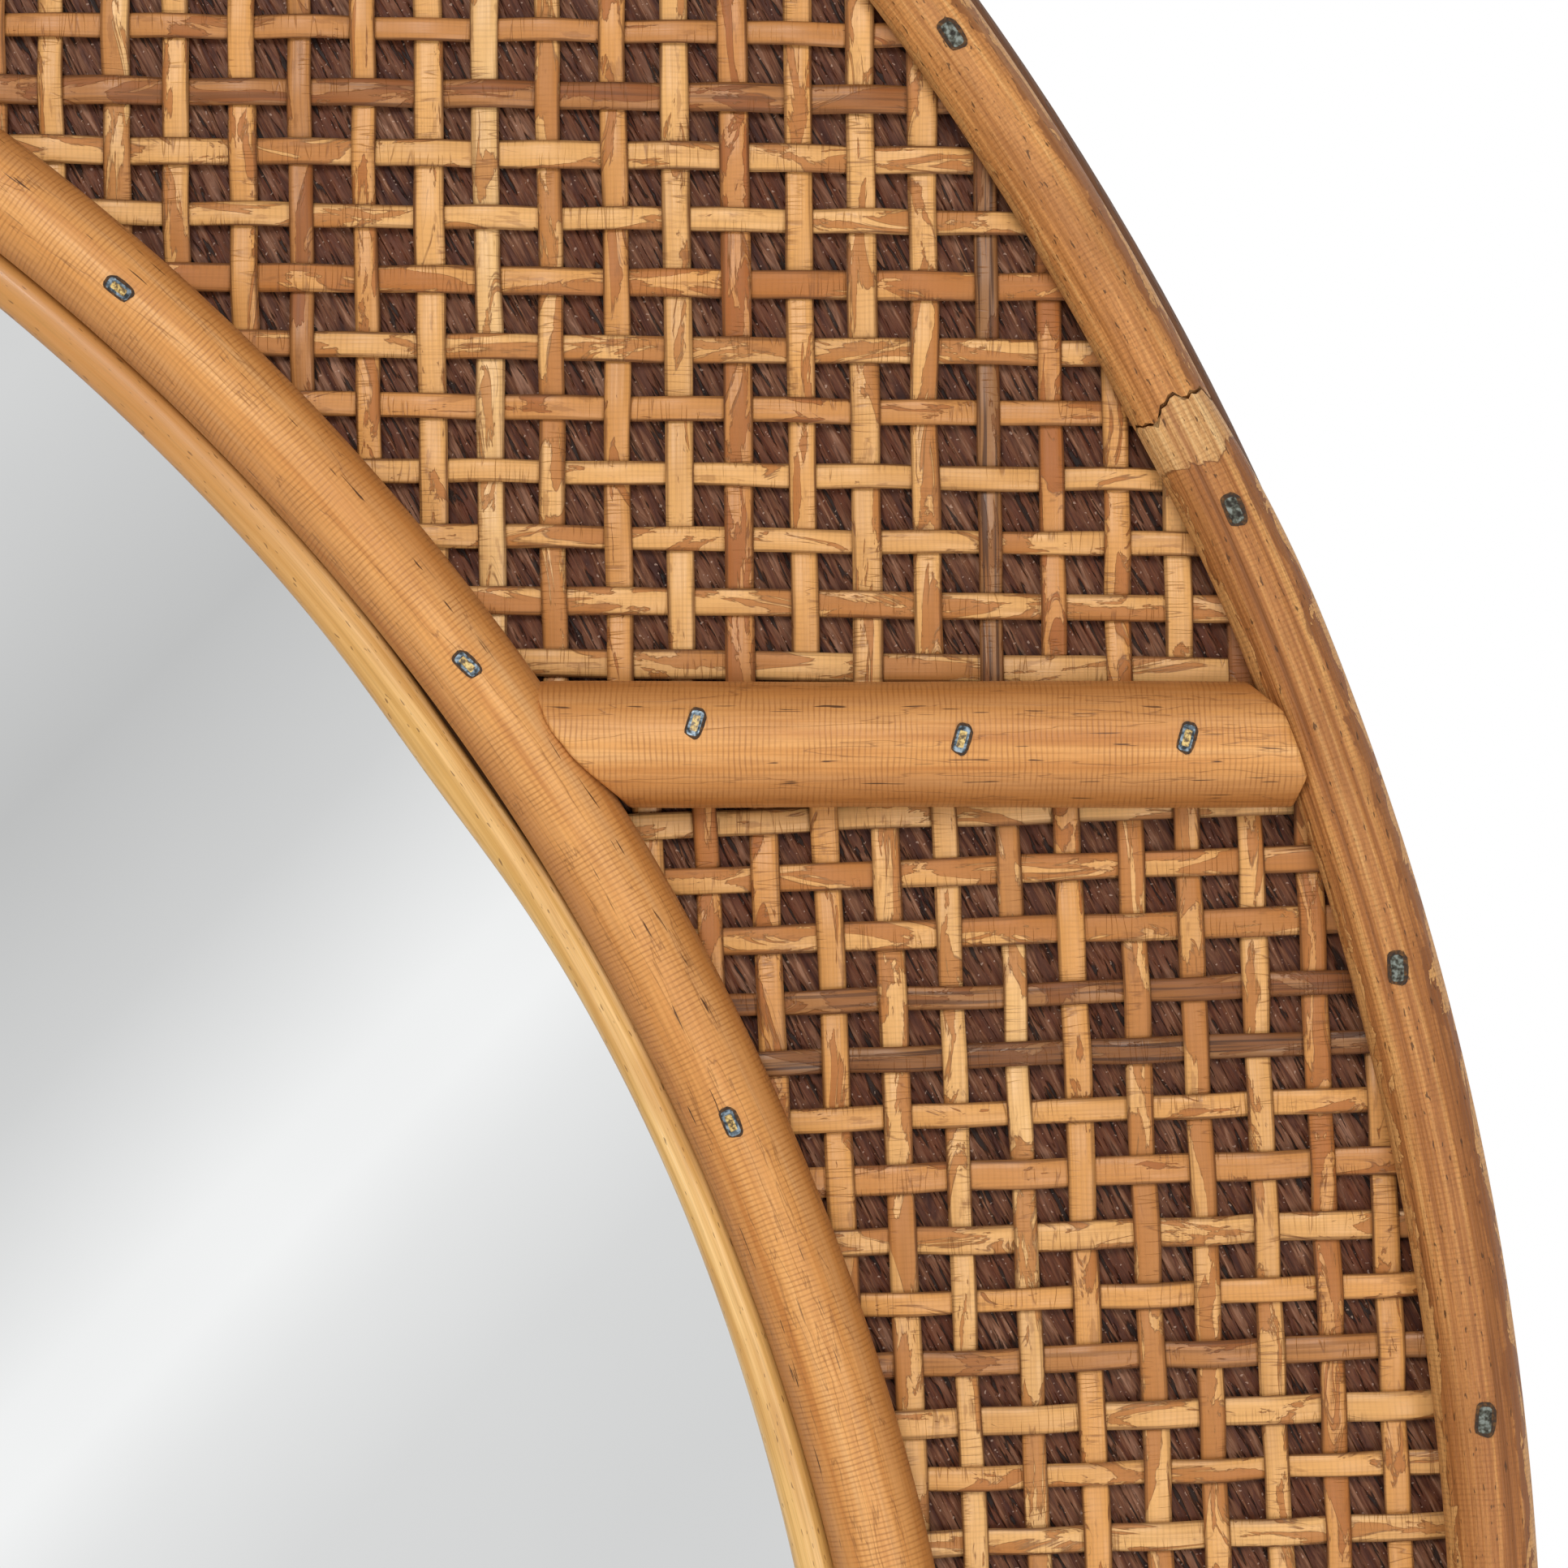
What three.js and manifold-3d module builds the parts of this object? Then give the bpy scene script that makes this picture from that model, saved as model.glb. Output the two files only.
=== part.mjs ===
// Round rattan wall mirror: a round glass set low in a round board, so that the woven band
// between the two rattan rings is a crescent, widest at the top and narrowest at the bottom.
// Millimetres, +Z up. The wall is the plane y = 0, the front looks along -Y, and the origin is
// the centre of the board's back face.
import * as THREE from "three";
import { mergeVertices } from "three/addons/utils/BufferGeometryUtils.js";
import Module from "manifold-3d";

const wasm = await Module();
wasm.setup();

// Driving dimensions
const CLEARANCE = 0.3; // between pieces that touch
const RING_STEPS = 54; // facets round each full circle

const BOARD_RADIUS = 457;
const BOARD_THICKNESS = 9;
const BOARD_BACK_CHAMFER = 1;
const BOARD_FRONT_ROUND = 3.5;

const MIRROR_DROP = 55.3; // the glass and its ring sit this far below the board's centre
const GLASS_RADIUS = 365;
const GLASS_THICKNESS = 3;

const POLE_HEIGHT_SHARE = 0.8; // a ring pole's height over its diameter, its back being planed flat
const INNER_POLE_DIAMETER = 15;
const INNER_POLE_OUTER_RADIUS = 374;
const BEAD_INNER_RADIUS = 353;
const BEAD_WIDTH = 6.5;
const BEAD_HEIGHT = 4;

const UPPER_POLE = { diameter: 12.6, inset: 2.2 }; // inset from the board's edge
const LOWER_POLE = { diameter: 13.5, inset: 0.4 };
const JOINT_ANGLE = THREE.MathUtils.degToRad(26.4); // the butt joint seen at the upper right
const POLE_SIDES = 8;

const STRUT_DIAMETER = 19.1;
const STRUT_HEIGHT = 12.4;
const STRUT_LEVEL = 151.5; // height of the struts above the board's centre
const STRUT_SIDES = 12;
const STRUT_END_GAP = 1;

const STRIP_WIDTH = 4.2;
const STRIP_THICKNESS = 1.2;
const EDGE_BAND_OUTER = 454.5; // the strips' glued ends, hidden under the outer ring
const EDGE_BAND_INNER = 447;
const STRIP_INNER_END = 367; // the strips' other ends, hidden under the inner ring
const SEAM_BAND_WIDTH = 7; // the strips' glued ends, hidden under a strut
const SHORTEST_STRIP = 4;
const BAND_STEP = THREE.MathUtils.degToRad(7.5);

// Each woven panel's spacing, one strip's place, and lean in degrees (uprights lean left going
// up, cross strips rise to the right).
const TOP_WEAVE = {
  upright: { pitch: 9.45, x: 297, z: 231.5, lean: 0.8 },
  cross: { pitch: 9.65, x: 300, z: 231.5, lean: -0.7 },
};
const RIGHT_WEAVE = {
  upright: { pitch: 9.17, x: 360.9, z: 61.2, lean: 2.5 },
  cross: { pitch: 9.28, x: 389.2, z: 95.7, lean: 2.2 },
};
const LEFT_WEAVE = {
  upright: { pitch: 9.17, x: -363, z: 61.2, lean: -1.4 },
  cross: { pitch: 9.28, x: -389.2, z: 93.2, lean: -1.2 },
};

const HANGER_X = 190;
const HANGER_Z = 300;
const HANGER = { width: 18, length: 46, thickness: 1.5 };
const KEYHOLE = { entry: 5.5, slot: 2.75, rise: 13 }; // radii of entry and slot, and their spacing
const SCREW_POCKET = { width: 14, length: 32, depth: 6 };

// Depths from the wall to the back of each layer
const WEAVE_BACK = BOARD_THICKNESS + CLEARANCE;
const UPRIGHT_BACK = WEAVE_BACK + STRIP_THICKNESS + CLEARANCE;
const GLASS_FRONT = BOARD_THICKNESS + CLEARANCE + GLASS_THICKNESS;
const OUTER_POLE_BACK = UPRIGHT_BACK + STRIP_THICKNESS + CLEARANCE;
const INNER_POLE_BACK = GLASS_FRONT + CLEARANCE;

const MIRROR_CENTRE = new THREE.Vector2(0, -MIRROR_DROP);
const BOARD_CENTRE = new THREE.Vector2(0, 0);

const MATERIALS = {
  plywood: new THREE.MeshStandardMaterial({ color: 0x6b4c40, roughness: 0.7 }),
  glass: new THREE.MeshStandardMaterial({ color: 0xe6e8e8, roughness: 0.03, metalness: 1 }),
  pole: new THREE.MeshStandardMaterial({ color: 0xc48a4a, roughness: 0.45 }),
  bead: new THREE.MeshStandardMaterial({ color: 0xd9b06a, roughness: 0.35 }),
  strip: new THREE.MeshStandardMaterial({ color: 0xd6a263, roughness: 0.5 }),
  steel: new THREE.MeshStandardMaterial({ color: 0x9a9c9e, roughness: 0.4, metalness: 1 }),
};

// Solids for joining and cutting
function solidFrom(geometry) {
  const bare = new THREE.BufferGeometry();
  const source = geometry.index ? geometry.toNonIndexed() : geometry;
  bare.setAttribute("position", source.getAttribute("position").clone());
  const merged = mergeVertices(bare, 1e-3);
  return new wasm.Manifold(
    new wasm.Mesh({
      numProp: 3,
      vertProperties: new Float32Array(merged.attributes.position.array),
      triVerts: new Uint32Array(merged.index.array),
    }),
  );
}

function geometryFrom(solid) {
  const mesh = solid.getMesh();
  const geometry = new THREE.BufferGeometry();
  geometry.setAttribute("position", new THREE.BufferAttribute(mesh.vertProperties, 3));
  geometry.setIndex(new THREE.BufferAttribute(mesh.triVerts, 1));
  geometry.computeVertexNormals();
  return geometry;
}

// A flat outline drawn in x and z, made thick from one depth towards the front.
function slab(shape, depth, thickness) {
  const geometry = new THREE.ExtrudeGeometry(shape, { depth: thickness, bevelEnabled: false });
  return geometry.rotateX(Math.PI / 2).translate(0, -depth, 0);
}

// A pole's section: a circle with its back planed flat, front along x and width along y.
function poleSection(diameter, height, sides) {
  const radius = diameter / 2;
  const centre = height - radius;
  const flatAngle = Math.acos(-centre / radius);
  const points = [];
  for (let i = 0; i <= sides; i++) {
    const angle = -flatAngle + (2 * flatAngle * i) / sides;
    points.push(new THREE.Vector2(centre + radius * Math.cos(angle), radius * Math.sin(angle)));
  }
  return points;
}

// A section swept once round the wall's normal, as a closed ring.
function ring(section, radius, depth) {
  const profile = section.map((p) => new THREE.Vector2(radius + p.y, -depth - p.x));
  profile.push(profile[0].clone());
  return new THREE.LatheGeometry(profile, RING_STEPS);
}

// A disc, from its half profile of [radius, depth] pairs between two points on the axis.
function disc(profile) {
  const points = profile.map(([radius, depth]) => new THREE.Vector2(radius, -depth));
  return new THREE.LatheGeometry(points.reverse(), RING_STEPS);
}

class ArcAlongBoard extends THREE.Curve {
  constructor(radius, depth, from, to) {
    super();
    Object.assign(this, { radius, depth, from, to });
  }

  getPoint(t, target = new THREE.Vector3()) {
    const angle = THREE.MathUtils.lerp(this.from, this.to, t);
    return target.set(this.radius * Math.cos(angle), -this.depth, this.radius * Math.sin(angle));
  }
}

// Board, glass and bead
function boardGeometry() {
  const profile = [
    [0, 0],
    [BOARD_RADIUS - BOARD_BACK_CHAMFER, 0],
    [BOARD_RADIUS, BOARD_BACK_CHAMFER],
  ];
  const roundSteps = 2;
  for (let i = 0; i <= roundSteps; i++) {
    const angle = (Math.PI / 2) * (i / roundSteps);
    profile.push([
      BOARD_RADIUS - BOARD_FRONT_ROUND * (1 - Math.cos(angle)),
      BOARD_THICKNESS - BOARD_FRONT_ROUND * (1 - Math.sin(angle)),
    ]);
  }
  profile.push([0, BOARD_THICKNESS]);
  let board = solidFrom(disc(profile));
  for (const side of [-1, 1]) {
    const plateRecess = plateOutline(side, CLEARANCE);
    const pocket = roundedSlot(SCREW_POCKET.width, SCREW_POCKET.length);
    const pocketShape = new THREE.Shape(pocket.map((p) => p.add(hangerCentre(side))));
    board = board.subtract(solidFrom(slab(plateRecess, -1, 1 + HANGER.thickness + CLEARANCE)));
    board = board.subtract(solidFrom(slab(pocketShape, -1, 1 + SCREW_POCKET.depth)));
  }
  return geometryFrom(board);
}

function glassGeometry() {
  const back = BOARD_THICKNESS + CLEARANCE;
  return disc([
    [0, back],
    [GLASS_RADIUS, back],
    [GLASS_RADIUS, GLASS_FRONT],
    [0, GLASS_FRONT],
  ]);
}

function beadGeometry() {
  const sides = 5;
  const section = [];
  for (let i = 0; i <= sides; i++) {
    const angle = Math.PI * (i / sides);
    section.push(
      new THREE.Vector2(BEAD_HEIGHT * Math.sin(angle), (-BEAD_WIDTH / 2) * Math.cos(angle)),
    );
  }
  return ring(section, BEAD_INNER_RADIUS + BEAD_WIDTH / 2, INNER_POLE_BACK);
}

// Rings of rattan pole
function innerPoleGeometry() {
  const height = INNER_POLE_DIAMETER * POLE_HEIGHT_SHARE;
  const section = poleSection(INNER_POLE_DIAMETER, height, POLE_SIDES);
  return ring(section, INNER_POLE_OUTER_RADIUS - INNER_POLE_DIAMETER / 2, INNER_POLE_BACK);
}

function outerPoleGeometry(pole, from, to) {
  const section = poleSection(pole.diameter, pole.diameter * POLE_HEIGHT_SHARE, POLE_SIDES);
  const radius = BOARD_RADIUS - pole.inset - pole.diameter / 2;
  const halfGap = CLEARANCE / radius;
  return new THREE.ExtrudeGeometry(new THREE.Shape(section), {
    steps: RING_STEPS / 2,
    extrudePath: new ArcAlongBoard(radius, OUTER_POLE_BACK, from + halfGap, to - halfGap),
  });
}

// Struts: a level pole across the band, its ends shaped to the two rings
function strutGeometry(side, outerPole) {
  const section = poleSection(STRUT_DIAMETER, STRUT_HEIGHT, STRUT_SIDES);
  const length = BOARD_RADIUS;
  const bar = new THREE.ExtrudeGeometry(
    new THREE.Shape(section.map((p) => new THREE.Vector2(p.y, p.x))),
    { depth: length, bevelEnabled: false },
  );
  const acrossToUp = new THREE.Matrix4().makeBasis(
    new THREE.Vector3(0, 0, 1),
    new THREE.Vector3(0, -1, 0),
    new THREE.Vector3(1, 0, 0),
  );
  bar.applyMatrix4(acrossToUp);
  bar.translate(side < 0 ? -length : 0, -OUTER_POLE_BACK, STRUT_LEVEL);
  const outerReach = BOARD_RADIUS - outerPole.inset - outerPole.diameter - STRUT_END_GAP;
  const innerReach = INNER_POLE_OUTER_RADIUS + STRUT_END_GAP;
  const tall = 2 * STRUT_HEIGHT;
  const inside = solidFrom(cutter(BOARD_CENTRE, outerReach, tall));
  const hole = solidFrom(cutter(MIRROR_CENTRE, innerReach, tall));
  return geometryFrom(solidFrom(bar).intersect(inside).subtract(hole));
}

function cutter(centre, radius, tall) {
  const cylinder = new THREE.CylinderGeometry(radius, radius, 2 * tall, 2 * RING_STEPS);
  return cylinder.translate(centre.x, -OUTER_POLE_BACK, centre.y);
}

// Woven strips. A layer of parallel strips is one comb: teeth on a band of glued ends.
// Distances along a line from point to where it crosses a circle, or null where it misses.
function crossings(point, along, centre, radius) {
  const offset = point.clone().sub(centre);
  const middle = -offset.dot(along);
  const missSquared = offset.lengthSq() - middle * middle;
  if (missSquared >= radius * radius) return null;
  const half = Math.sqrt(radius * radius - missSquared);
  return [middle - half, middle + half];
}

// Both edges of every strip in a layer, from one side of the board to the other.
function stripEdges(layer, upright) {
  const lean = THREE.MathUtils.degToRad(layer.lean);
  const along = upright
    ? new THREE.Vector2(-Math.sin(lean), Math.cos(lean))
    : new THREE.Vector2(Math.cos(lean), Math.sin(lean));
  const across = upright
    ? new THREE.Vector2(along.y, -along.x)
    : new THREE.Vector2(-along.y, along.x);
  const anchor = new THREE.Vector2(layer.x, layer.z);
  const reach = Math.ceil((2 * BOARD_RADIUS) / layer.pitch);
  const strips = [];
  for (let k = -reach; k <= reach; k++) {
    const edges = [-1, 1].map((side) =>
      anchor.clone().addScaledVector(across, k * layer.pitch + (side * STRIP_WIDTH) / 2),
    );
    strips.push({ along, edges });
  }
  return strips;
}

// Where both edges of a strip cross the circle of the strips' inner ends. An edge that just
// misses it ends square with the other.
function innerCrossings(strip) {
  const found = strip.edges.map((edge) =>
    crossings(edge, strip.along, MIRROR_CENTRE, STRIP_INNER_END),
  );
  return found.map((own, i) => own ?? found[1 - i]);
}

// One tooth: root and tip on both edges of a strip, or null where the strip is too short.
// spanOf gives [root, tip] as distances along an edge line.
function tooth(strip, spanOf) {
  const inner = innerCrossings(strip);
  const spans = strip.edges.map((edge, i) => spanOf(edge, strip.along, inner[i]));
  if (spans.some((span) => span === null)) return null;
  const directions = spans.map(([root, tip]) => Math.sign(tip - root));
  if (directions[0] !== directions[1]) return null;
  if (spans.some(([root, tip]) => Math.abs(tip - root) < SHORTEST_STRIP)) return null;
  const at = (i, s) => strip.edges[i].clone().addScaledVector(strip.along, s);
  return [at(0, spans[0][0]), at(0, spans[0][1]), at(1, spans[1][1]), at(1, spans[1][0])];
}

function polar(radius, angle) {
  return new THREE.Vector2(radius * Math.cos(angle), radius * Math.sin(angle));
}

function arcPoints(radius, from, to) {
  const steps = Math.round(Math.abs(to - from) / BAND_STEP);
  const points = [];
  for (let i = 0; i <= steps; i++) {
    points.push(polar(radius, THREE.MathUtils.lerp(from, to, i / steps)));
  }
  return points;
}

const outerOf = (edge, along, radius) => crossings(edge, along, BOARD_CENTRE, radius);
const FREE_END = EDGE_BAND_INNER - CLEARANCE;
const SEAM_TOP = STRUT_LEVEL + CLEARANCE; // the top panel ends here
const SEAM_BOTTOM = STRUT_LEVEL - CLEARANCE; // the side panels end here
const angleAtLevel = (level, radius) => Math.asin(level / radius);
const levelOf = (edge, along, level) => (level - edge.y) / along.y;
const present = (list) => list.filter((item) => item !== null);

// Uprights of the top panel hang from the outer ring to the inner ring or the strut.
function topUprights() {
  const teeth = present(
    stripEdges(TOP_WEAVE.upright, true).map((strip) =>
      tooth(strip, (edge, along, inner) => {
        const outer = outerOf(edge, along, EDGE_BAND_INNER);
        if (!outer) return null;
        const seam = levelOf(edge, along, SEAM_TOP);
        const tip = inner ? Math.max(seam, inner[1]) : seam;
        return tip < outer[1] ? [outer[1], tip] : null;
      }),
    ),
  );
  return topComb(teeth);
}

// Cross strips of the top panel: whole above the glass, in two lengths beside it.
function topCrosses() {
  const aboveSeam = (edge, along, s) => edge.y + along.y * s > SEAM_TOP + STRIP_WIDTH;
  const strips = stripEdges(TOP_WEAVE.cross, false);
  const leftTeeth = strips.map((strip) =>
    tooth(strip, (edge, along, inner) => {
      const outer = outerOf(edge, along, EDGE_BAND_INNER);
      if (!outer || !inner || !aboveSeam(edge, along, outer[0])) return null;
      return inner[0] > outer[0] ? [outer[0], inner[0]] : null;
    }),
  );
  const rightTeeth = strips.map((strip) =>
    tooth(strip, (edge, along, inner) => {
      const outer = outerOf(edge, along, EDGE_BAND_INNER);
      if (!outer || !aboveSeam(edge, along, outer[1])) return null;
      return [outer[1], inner ? inner[1] : outerOf(edge, along, FREE_END)?.[0] ?? outer[1]];
    }),
  );
  const downTheRight = present(rightTeeth)
    .reverse()
    .map((corners) => corners.reverse());
  return topComb([...present(leftTeeth), ...downTheRight]);
}

// The band under the top of the outer ring, from its left end over the top to its right end,
// and back with the teeth on its inner side in order from left to right.
function topComb(teeth) {
  const start = angleAtLevel(SEAM_TOP, EDGE_BAND_OUTER);
  const innerStart = angleAtLevel(SEAM_TOP, EDGE_BAND_INNER);
  const outside = arcPoints(EDGE_BAND_OUTER, start, Math.PI - start);
  const leftEnd = polar(EDGE_BAND_INNER, Math.PI - innerStart);
  const rightEnd = polar(EDGE_BAND_INNER, innerStart);
  return new THREE.Shape([...outside, leftEnd, ...teeth.flat(), rightEnd]);
}

// Cross strips of a side panel run from the outer ring to the inner ring, and below the glass
// to the middle of the board.
function sideCrosses(weave) {
  const teeth = present(
    stripEdges(weave.cross, false).map((strip) =>
      tooth(strip, (edge, along, inner) => {
        const outer = outerOf(edge, along, EDGE_BAND_INNER);
        if (!outer) return null;
        const level = edge.y + along.y * outer[1];
        if (level > SEAM_BOTTOM - STRIP_WIDTH) return null;
        const middle = (CLEARANCE - edge.x) / along.x;
        const tip = inner ? inner[1] : middle;
        return tip < outer[1] ? [outer[1], tip] : null;
      }),
    ),
  );
  return sideComb([], teeth);
}

// Uprights of a side panel hang from the strut down to the inner ring or the outer ring, and
// below the glass they stand on the outer ring.
function sideUprights(weave) {
  const strips = stripEdges(weave.upright, true);
  const seamTeeth = strips.map((strip) =>
    tooth(strip, (edge, along, inner) => {
      const root = levelOf(edge, along, SEAM_BOTTOM - SEAM_BAND_WIDTH);
      const outer = outerOf(edge, along, FREE_END);
      if (!outer || outer[1] < root + SEAM_BAND_WIDTH) return null;
      if (edge.x < 0 || (inner && inner[1] > root)) return null;
      return [root, inner ? inner[1] : outer[0]];
    }),
  );
  const ringTeeth = strips.map((strip) =>
    tooth(strip, (edge, along, inner) => {
      const outer = outerOf(edge, along, EDGE_BAND_INNER);
      if (!outer || edge.x + along.x * outer[0] < CLEARANCE) return null;
      const seam = levelOf(edge, along, SEAM_BOTTOM);
      if (inner) return inner[0] > outer[0] ? [outer[0], inner[0]] : null;
      return outer[1] < seam ? [outer[0], outerOf(edge, along, FREE_END)?.[1] ?? outer[0]] : null;
    }),
  );
  return sideComb(present(seamTeeth), present(ringTeeth));
}

// A side panel's band: level under the strut, then down under the outer ring to the bottom, and
// back up its inner side. Drawn for the right-hand side.
function sideComb(seamTeeth, ringTeeth) {
  const start = angleAtLevel(SEAM_BOTTOM, EDGE_BAND_OUTER);
  const bottom = -Math.PI / 2 + CLEARANCE / EDGE_BAND_OUTER;
  const outside = arcPoints(EDGE_BAND_OUTER, start, bottom);
  const foot = polar(EDGE_BAND_INNER, bottom);
  const bandLevel = SEAM_BOTTOM - SEAM_BAND_WIDTH;
  const corner = polar(EDGE_BAND_INNER, angleAtLevel(bandLevel, EDGE_BAND_INNER));
  const innerLevel = STRUT_LEVEL + MIRROR_DROP;
  const seamEnd = Math.sqrt(STRIP_INNER_END ** 2 - (innerLevel - SEAM_BAND_WIDTH) ** 2);
  const seam = [
    ...seamTeeth.map((corners) => [...corners].reverse()).reverse().flat(),
    new THREE.Vector2(seamEnd, bandLevel),
    new THREE.Vector2(seamEnd, SEAM_BOTTOM),
  ];
  const seamIfUsed = seamTeeth.length ? seam : [];
  return new THREE.Shape([...outside, foot, ...ringTeeth.flat(), corner, ...seamIfUsed]);
}

function mirrored(weave) {
  const flip = (layer) => ({ ...layer, x: -layer.x, lean: -layer.lean });
  return { upright: flip(weave.upright), cross: flip(weave.cross) };
}

function flipped(shape) {
  return new THREE.Shape(shape.getPoints().map((p) => new THREE.Vector2(-p.x, p.y)));
}

// Hanger plates, let in flush with the back
function hangerCentre(side) {
  return new THREE.Vector2(side * HANGER_X, HANGER_Z);
}

function roundedSlot(width, length) {
  const radius = width / 2;
  const straight = length / 2 - radius;
  const stepsPerEnd = 6;
  const points = [];
  for (const end of [1, -1]) {
    for (let i = 0; i <= stepsPerEnd; i++) {
      const angle = (end > 0 ? 0 : Math.PI) + (Math.PI * i) / stepsPerEnd;
      points.push(
        new THREE.Vector2(radius * Math.cos(angle), end * straight + radius * Math.sin(angle)),
      );
    }
  }
  return points;
}

function plateOutline(side, grow) {
  const points = roundedSlot(HANGER.width + 2 * grow, HANGER.length + 2 * grow);
  return new THREE.Shape(points.map((p) => p.add(hangerCentre(side))));
}

function hangerGeometry(side) {
  const plate = plateOutline(side, 0);
  const centre = hangerCentre(side);
  const entryZ = centre.y - KEYHOLE.rise / 2;
  const slotZ = centre.y + KEYHOLE.rise / 2;
  const neck = Math.asin(KEYHOLE.slot / KEYHOLE.entry);
  const hole = new THREE.Path();
  const right = Math.PI / 2 - neck;
  const left = Math.PI / 2 + neck;
  hole.absarc(centre.x, entryZ, KEYHOLE.entry, right, left - 2 * Math.PI, true);
  hole.absarc(centre.x, slotZ, KEYHOLE.slot, Math.PI, 0, true);
  plate.holes.push(hole);
  const geometry = new THREE.ExtrudeGeometry(plate, {
    depth: HANGER.thickness,
    bevelEnabled: false,
    curveSegments: 10,
  });
  return geometry.rotateX(Math.PI / 2);
}

// Assembly
const mirror = new THREE.Group();

function add(name, geometry, material, centre = BOARD_CENTRE) {
  const mesh = new THREE.Mesh(geometry, material);
  mesh.name = name;
  mesh.position.set(centre.x, 0, centre.y);
  mirror.add(mesh);
}

function addStrips(name, shape, depth) {
  add(name, slab(shape, depth, STRIP_THICKNESS), MATERIALS.strip);
}

add("backboard", boardGeometry(), MATERIALS.plywood);
add("mirror_glass", glassGeometry(), MATERIALS.glass, MIRROR_CENTRE);
add("glass_bead", beadGeometry(), MATERIALS.bead, MIRROR_CENTRE);
add("inner_pole_ring", innerPoleGeometry(), MATERIALS.pole, MIRROR_CENTRE);
add(
  "outer_pole_upper",
  outerPoleGeometry(UPPER_POLE, JOINT_ANGLE, JOINT_ANGLE + Math.PI),
  MATERIALS.pole,
);
add(
  "outer_pole_lower",
  outerPoleGeometry(LOWER_POLE, JOINT_ANGLE - Math.PI, JOINT_ANGLE),
  MATERIALS.pole,
);
addStrips("top_cross_strips", topCrosses(), WEAVE_BACK);
addStrips("top_upright_strips", topUprights(), UPRIGHT_BACK);
addStrips("right_cross_strips", sideCrosses(RIGHT_WEAVE), WEAVE_BACK);
addStrips("right_upright_strips", sideUprights(RIGHT_WEAVE), UPRIGHT_BACK);
addStrips("left_cross_strips", flipped(sideCrosses(mirrored(LEFT_WEAVE))), WEAVE_BACK);
addStrips("left_upright_strips", flipped(sideUprights(mirrored(LEFT_WEAVE))), UPRIGHT_BACK);
const SIDES = [
  { name: "left", side: -1, outerPole: UPPER_POLE },
  { name: "right", side: 1, outerPole: LOWER_POLE },
];
for (const { name, side, outerPole } of SIDES) {
  add(`${name}_strut`, strutGeometry(side, outerPole), MATERIALS.pole);
  add(`${name}_hanger_plate`, hangerGeometry(side), MATERIALS.steel);
}

export default mirror;
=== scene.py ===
import math
import random
from collections import namedtuple
from functools import partial

import bpy
import numpy as np
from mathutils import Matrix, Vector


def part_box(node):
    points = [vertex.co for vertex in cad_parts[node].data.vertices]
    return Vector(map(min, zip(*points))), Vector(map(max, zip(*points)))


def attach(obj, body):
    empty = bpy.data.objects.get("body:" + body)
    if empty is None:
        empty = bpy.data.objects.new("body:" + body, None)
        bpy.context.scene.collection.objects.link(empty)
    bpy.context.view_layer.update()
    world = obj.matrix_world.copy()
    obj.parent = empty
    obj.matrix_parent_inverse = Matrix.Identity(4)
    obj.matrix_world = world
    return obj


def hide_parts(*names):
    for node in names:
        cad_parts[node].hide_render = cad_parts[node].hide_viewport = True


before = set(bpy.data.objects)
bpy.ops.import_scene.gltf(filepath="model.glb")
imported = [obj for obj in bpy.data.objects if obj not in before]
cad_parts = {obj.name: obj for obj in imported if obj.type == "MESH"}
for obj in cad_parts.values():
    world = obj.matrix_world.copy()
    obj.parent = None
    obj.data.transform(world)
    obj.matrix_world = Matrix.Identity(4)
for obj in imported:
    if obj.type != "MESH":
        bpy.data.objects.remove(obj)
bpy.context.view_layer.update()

MM = 0.001

# Sizes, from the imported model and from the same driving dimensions
BOARD_LOW, BOARD_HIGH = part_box("backboard")
GLASS_LOW, GLASS_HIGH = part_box("mirror_glass")
BOARD_RADIUS = (BOARD_HIGH.z - BOARD_LOW.z) / 2
BOARD_FRONT = -BOARD_LOW.y
BOARD_BACK_CHAMFER = 1 * MM
BOARD_FRONT_ROUND = 3.5 * MM
GLASS_RADIUS = (GLASS_HIGH.z - GLASS_LOW.z) / 2
GLASS_BACK = -GLASS_HIGH.y
GLASS_FRONT = -GLASS_LOW.y
MIRROR_Z = (GLASS_HIGH.z + GLASS_LOW.z) / 2

POLE_HEIGHT_SHARE = 0.8
INNER_POLE_BACK = -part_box("inner_pole_ring")[1].y
OUTER_POLE_BACK = -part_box("outer_pole_lower")[1].y
BEAD_WIDTH = 6.5 * MM
BEAD_HEIGHT = 4 * MM
Pole = namedtuple("Pole", "diameter radius centre_z back")
INNER_POLE = Pole(15 * MM, 366.5 * MM, MIRROR_Z, INNER_POLE_BACK)
UPPER_POLE = Pole(12.6 * MM, 448.5 * MM, 0.0, OUTER_POLE_BACK)
LOWER_POLE = Pole(13.5 * MM, 449.85 * MM, 0.0, OUTER_POLE_BACK)
BEAD = Pole(BEAD_WIDTH, 353 * MM + BEAD_WIDTH / 2, MIRROR_Z, INNER_POLE_BACK)
JOINT_ANGLE = math.radians(26.4)
JOINT_GAP = 0.3 * MM

STRUT_DIAMETER = 19.1 * MM
STRUT_HEIGHT = 12.4 * MM
STRUT_LEVEL = 151.5 * MM
STRUT_END_GAP = 0.45 * MM

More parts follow.
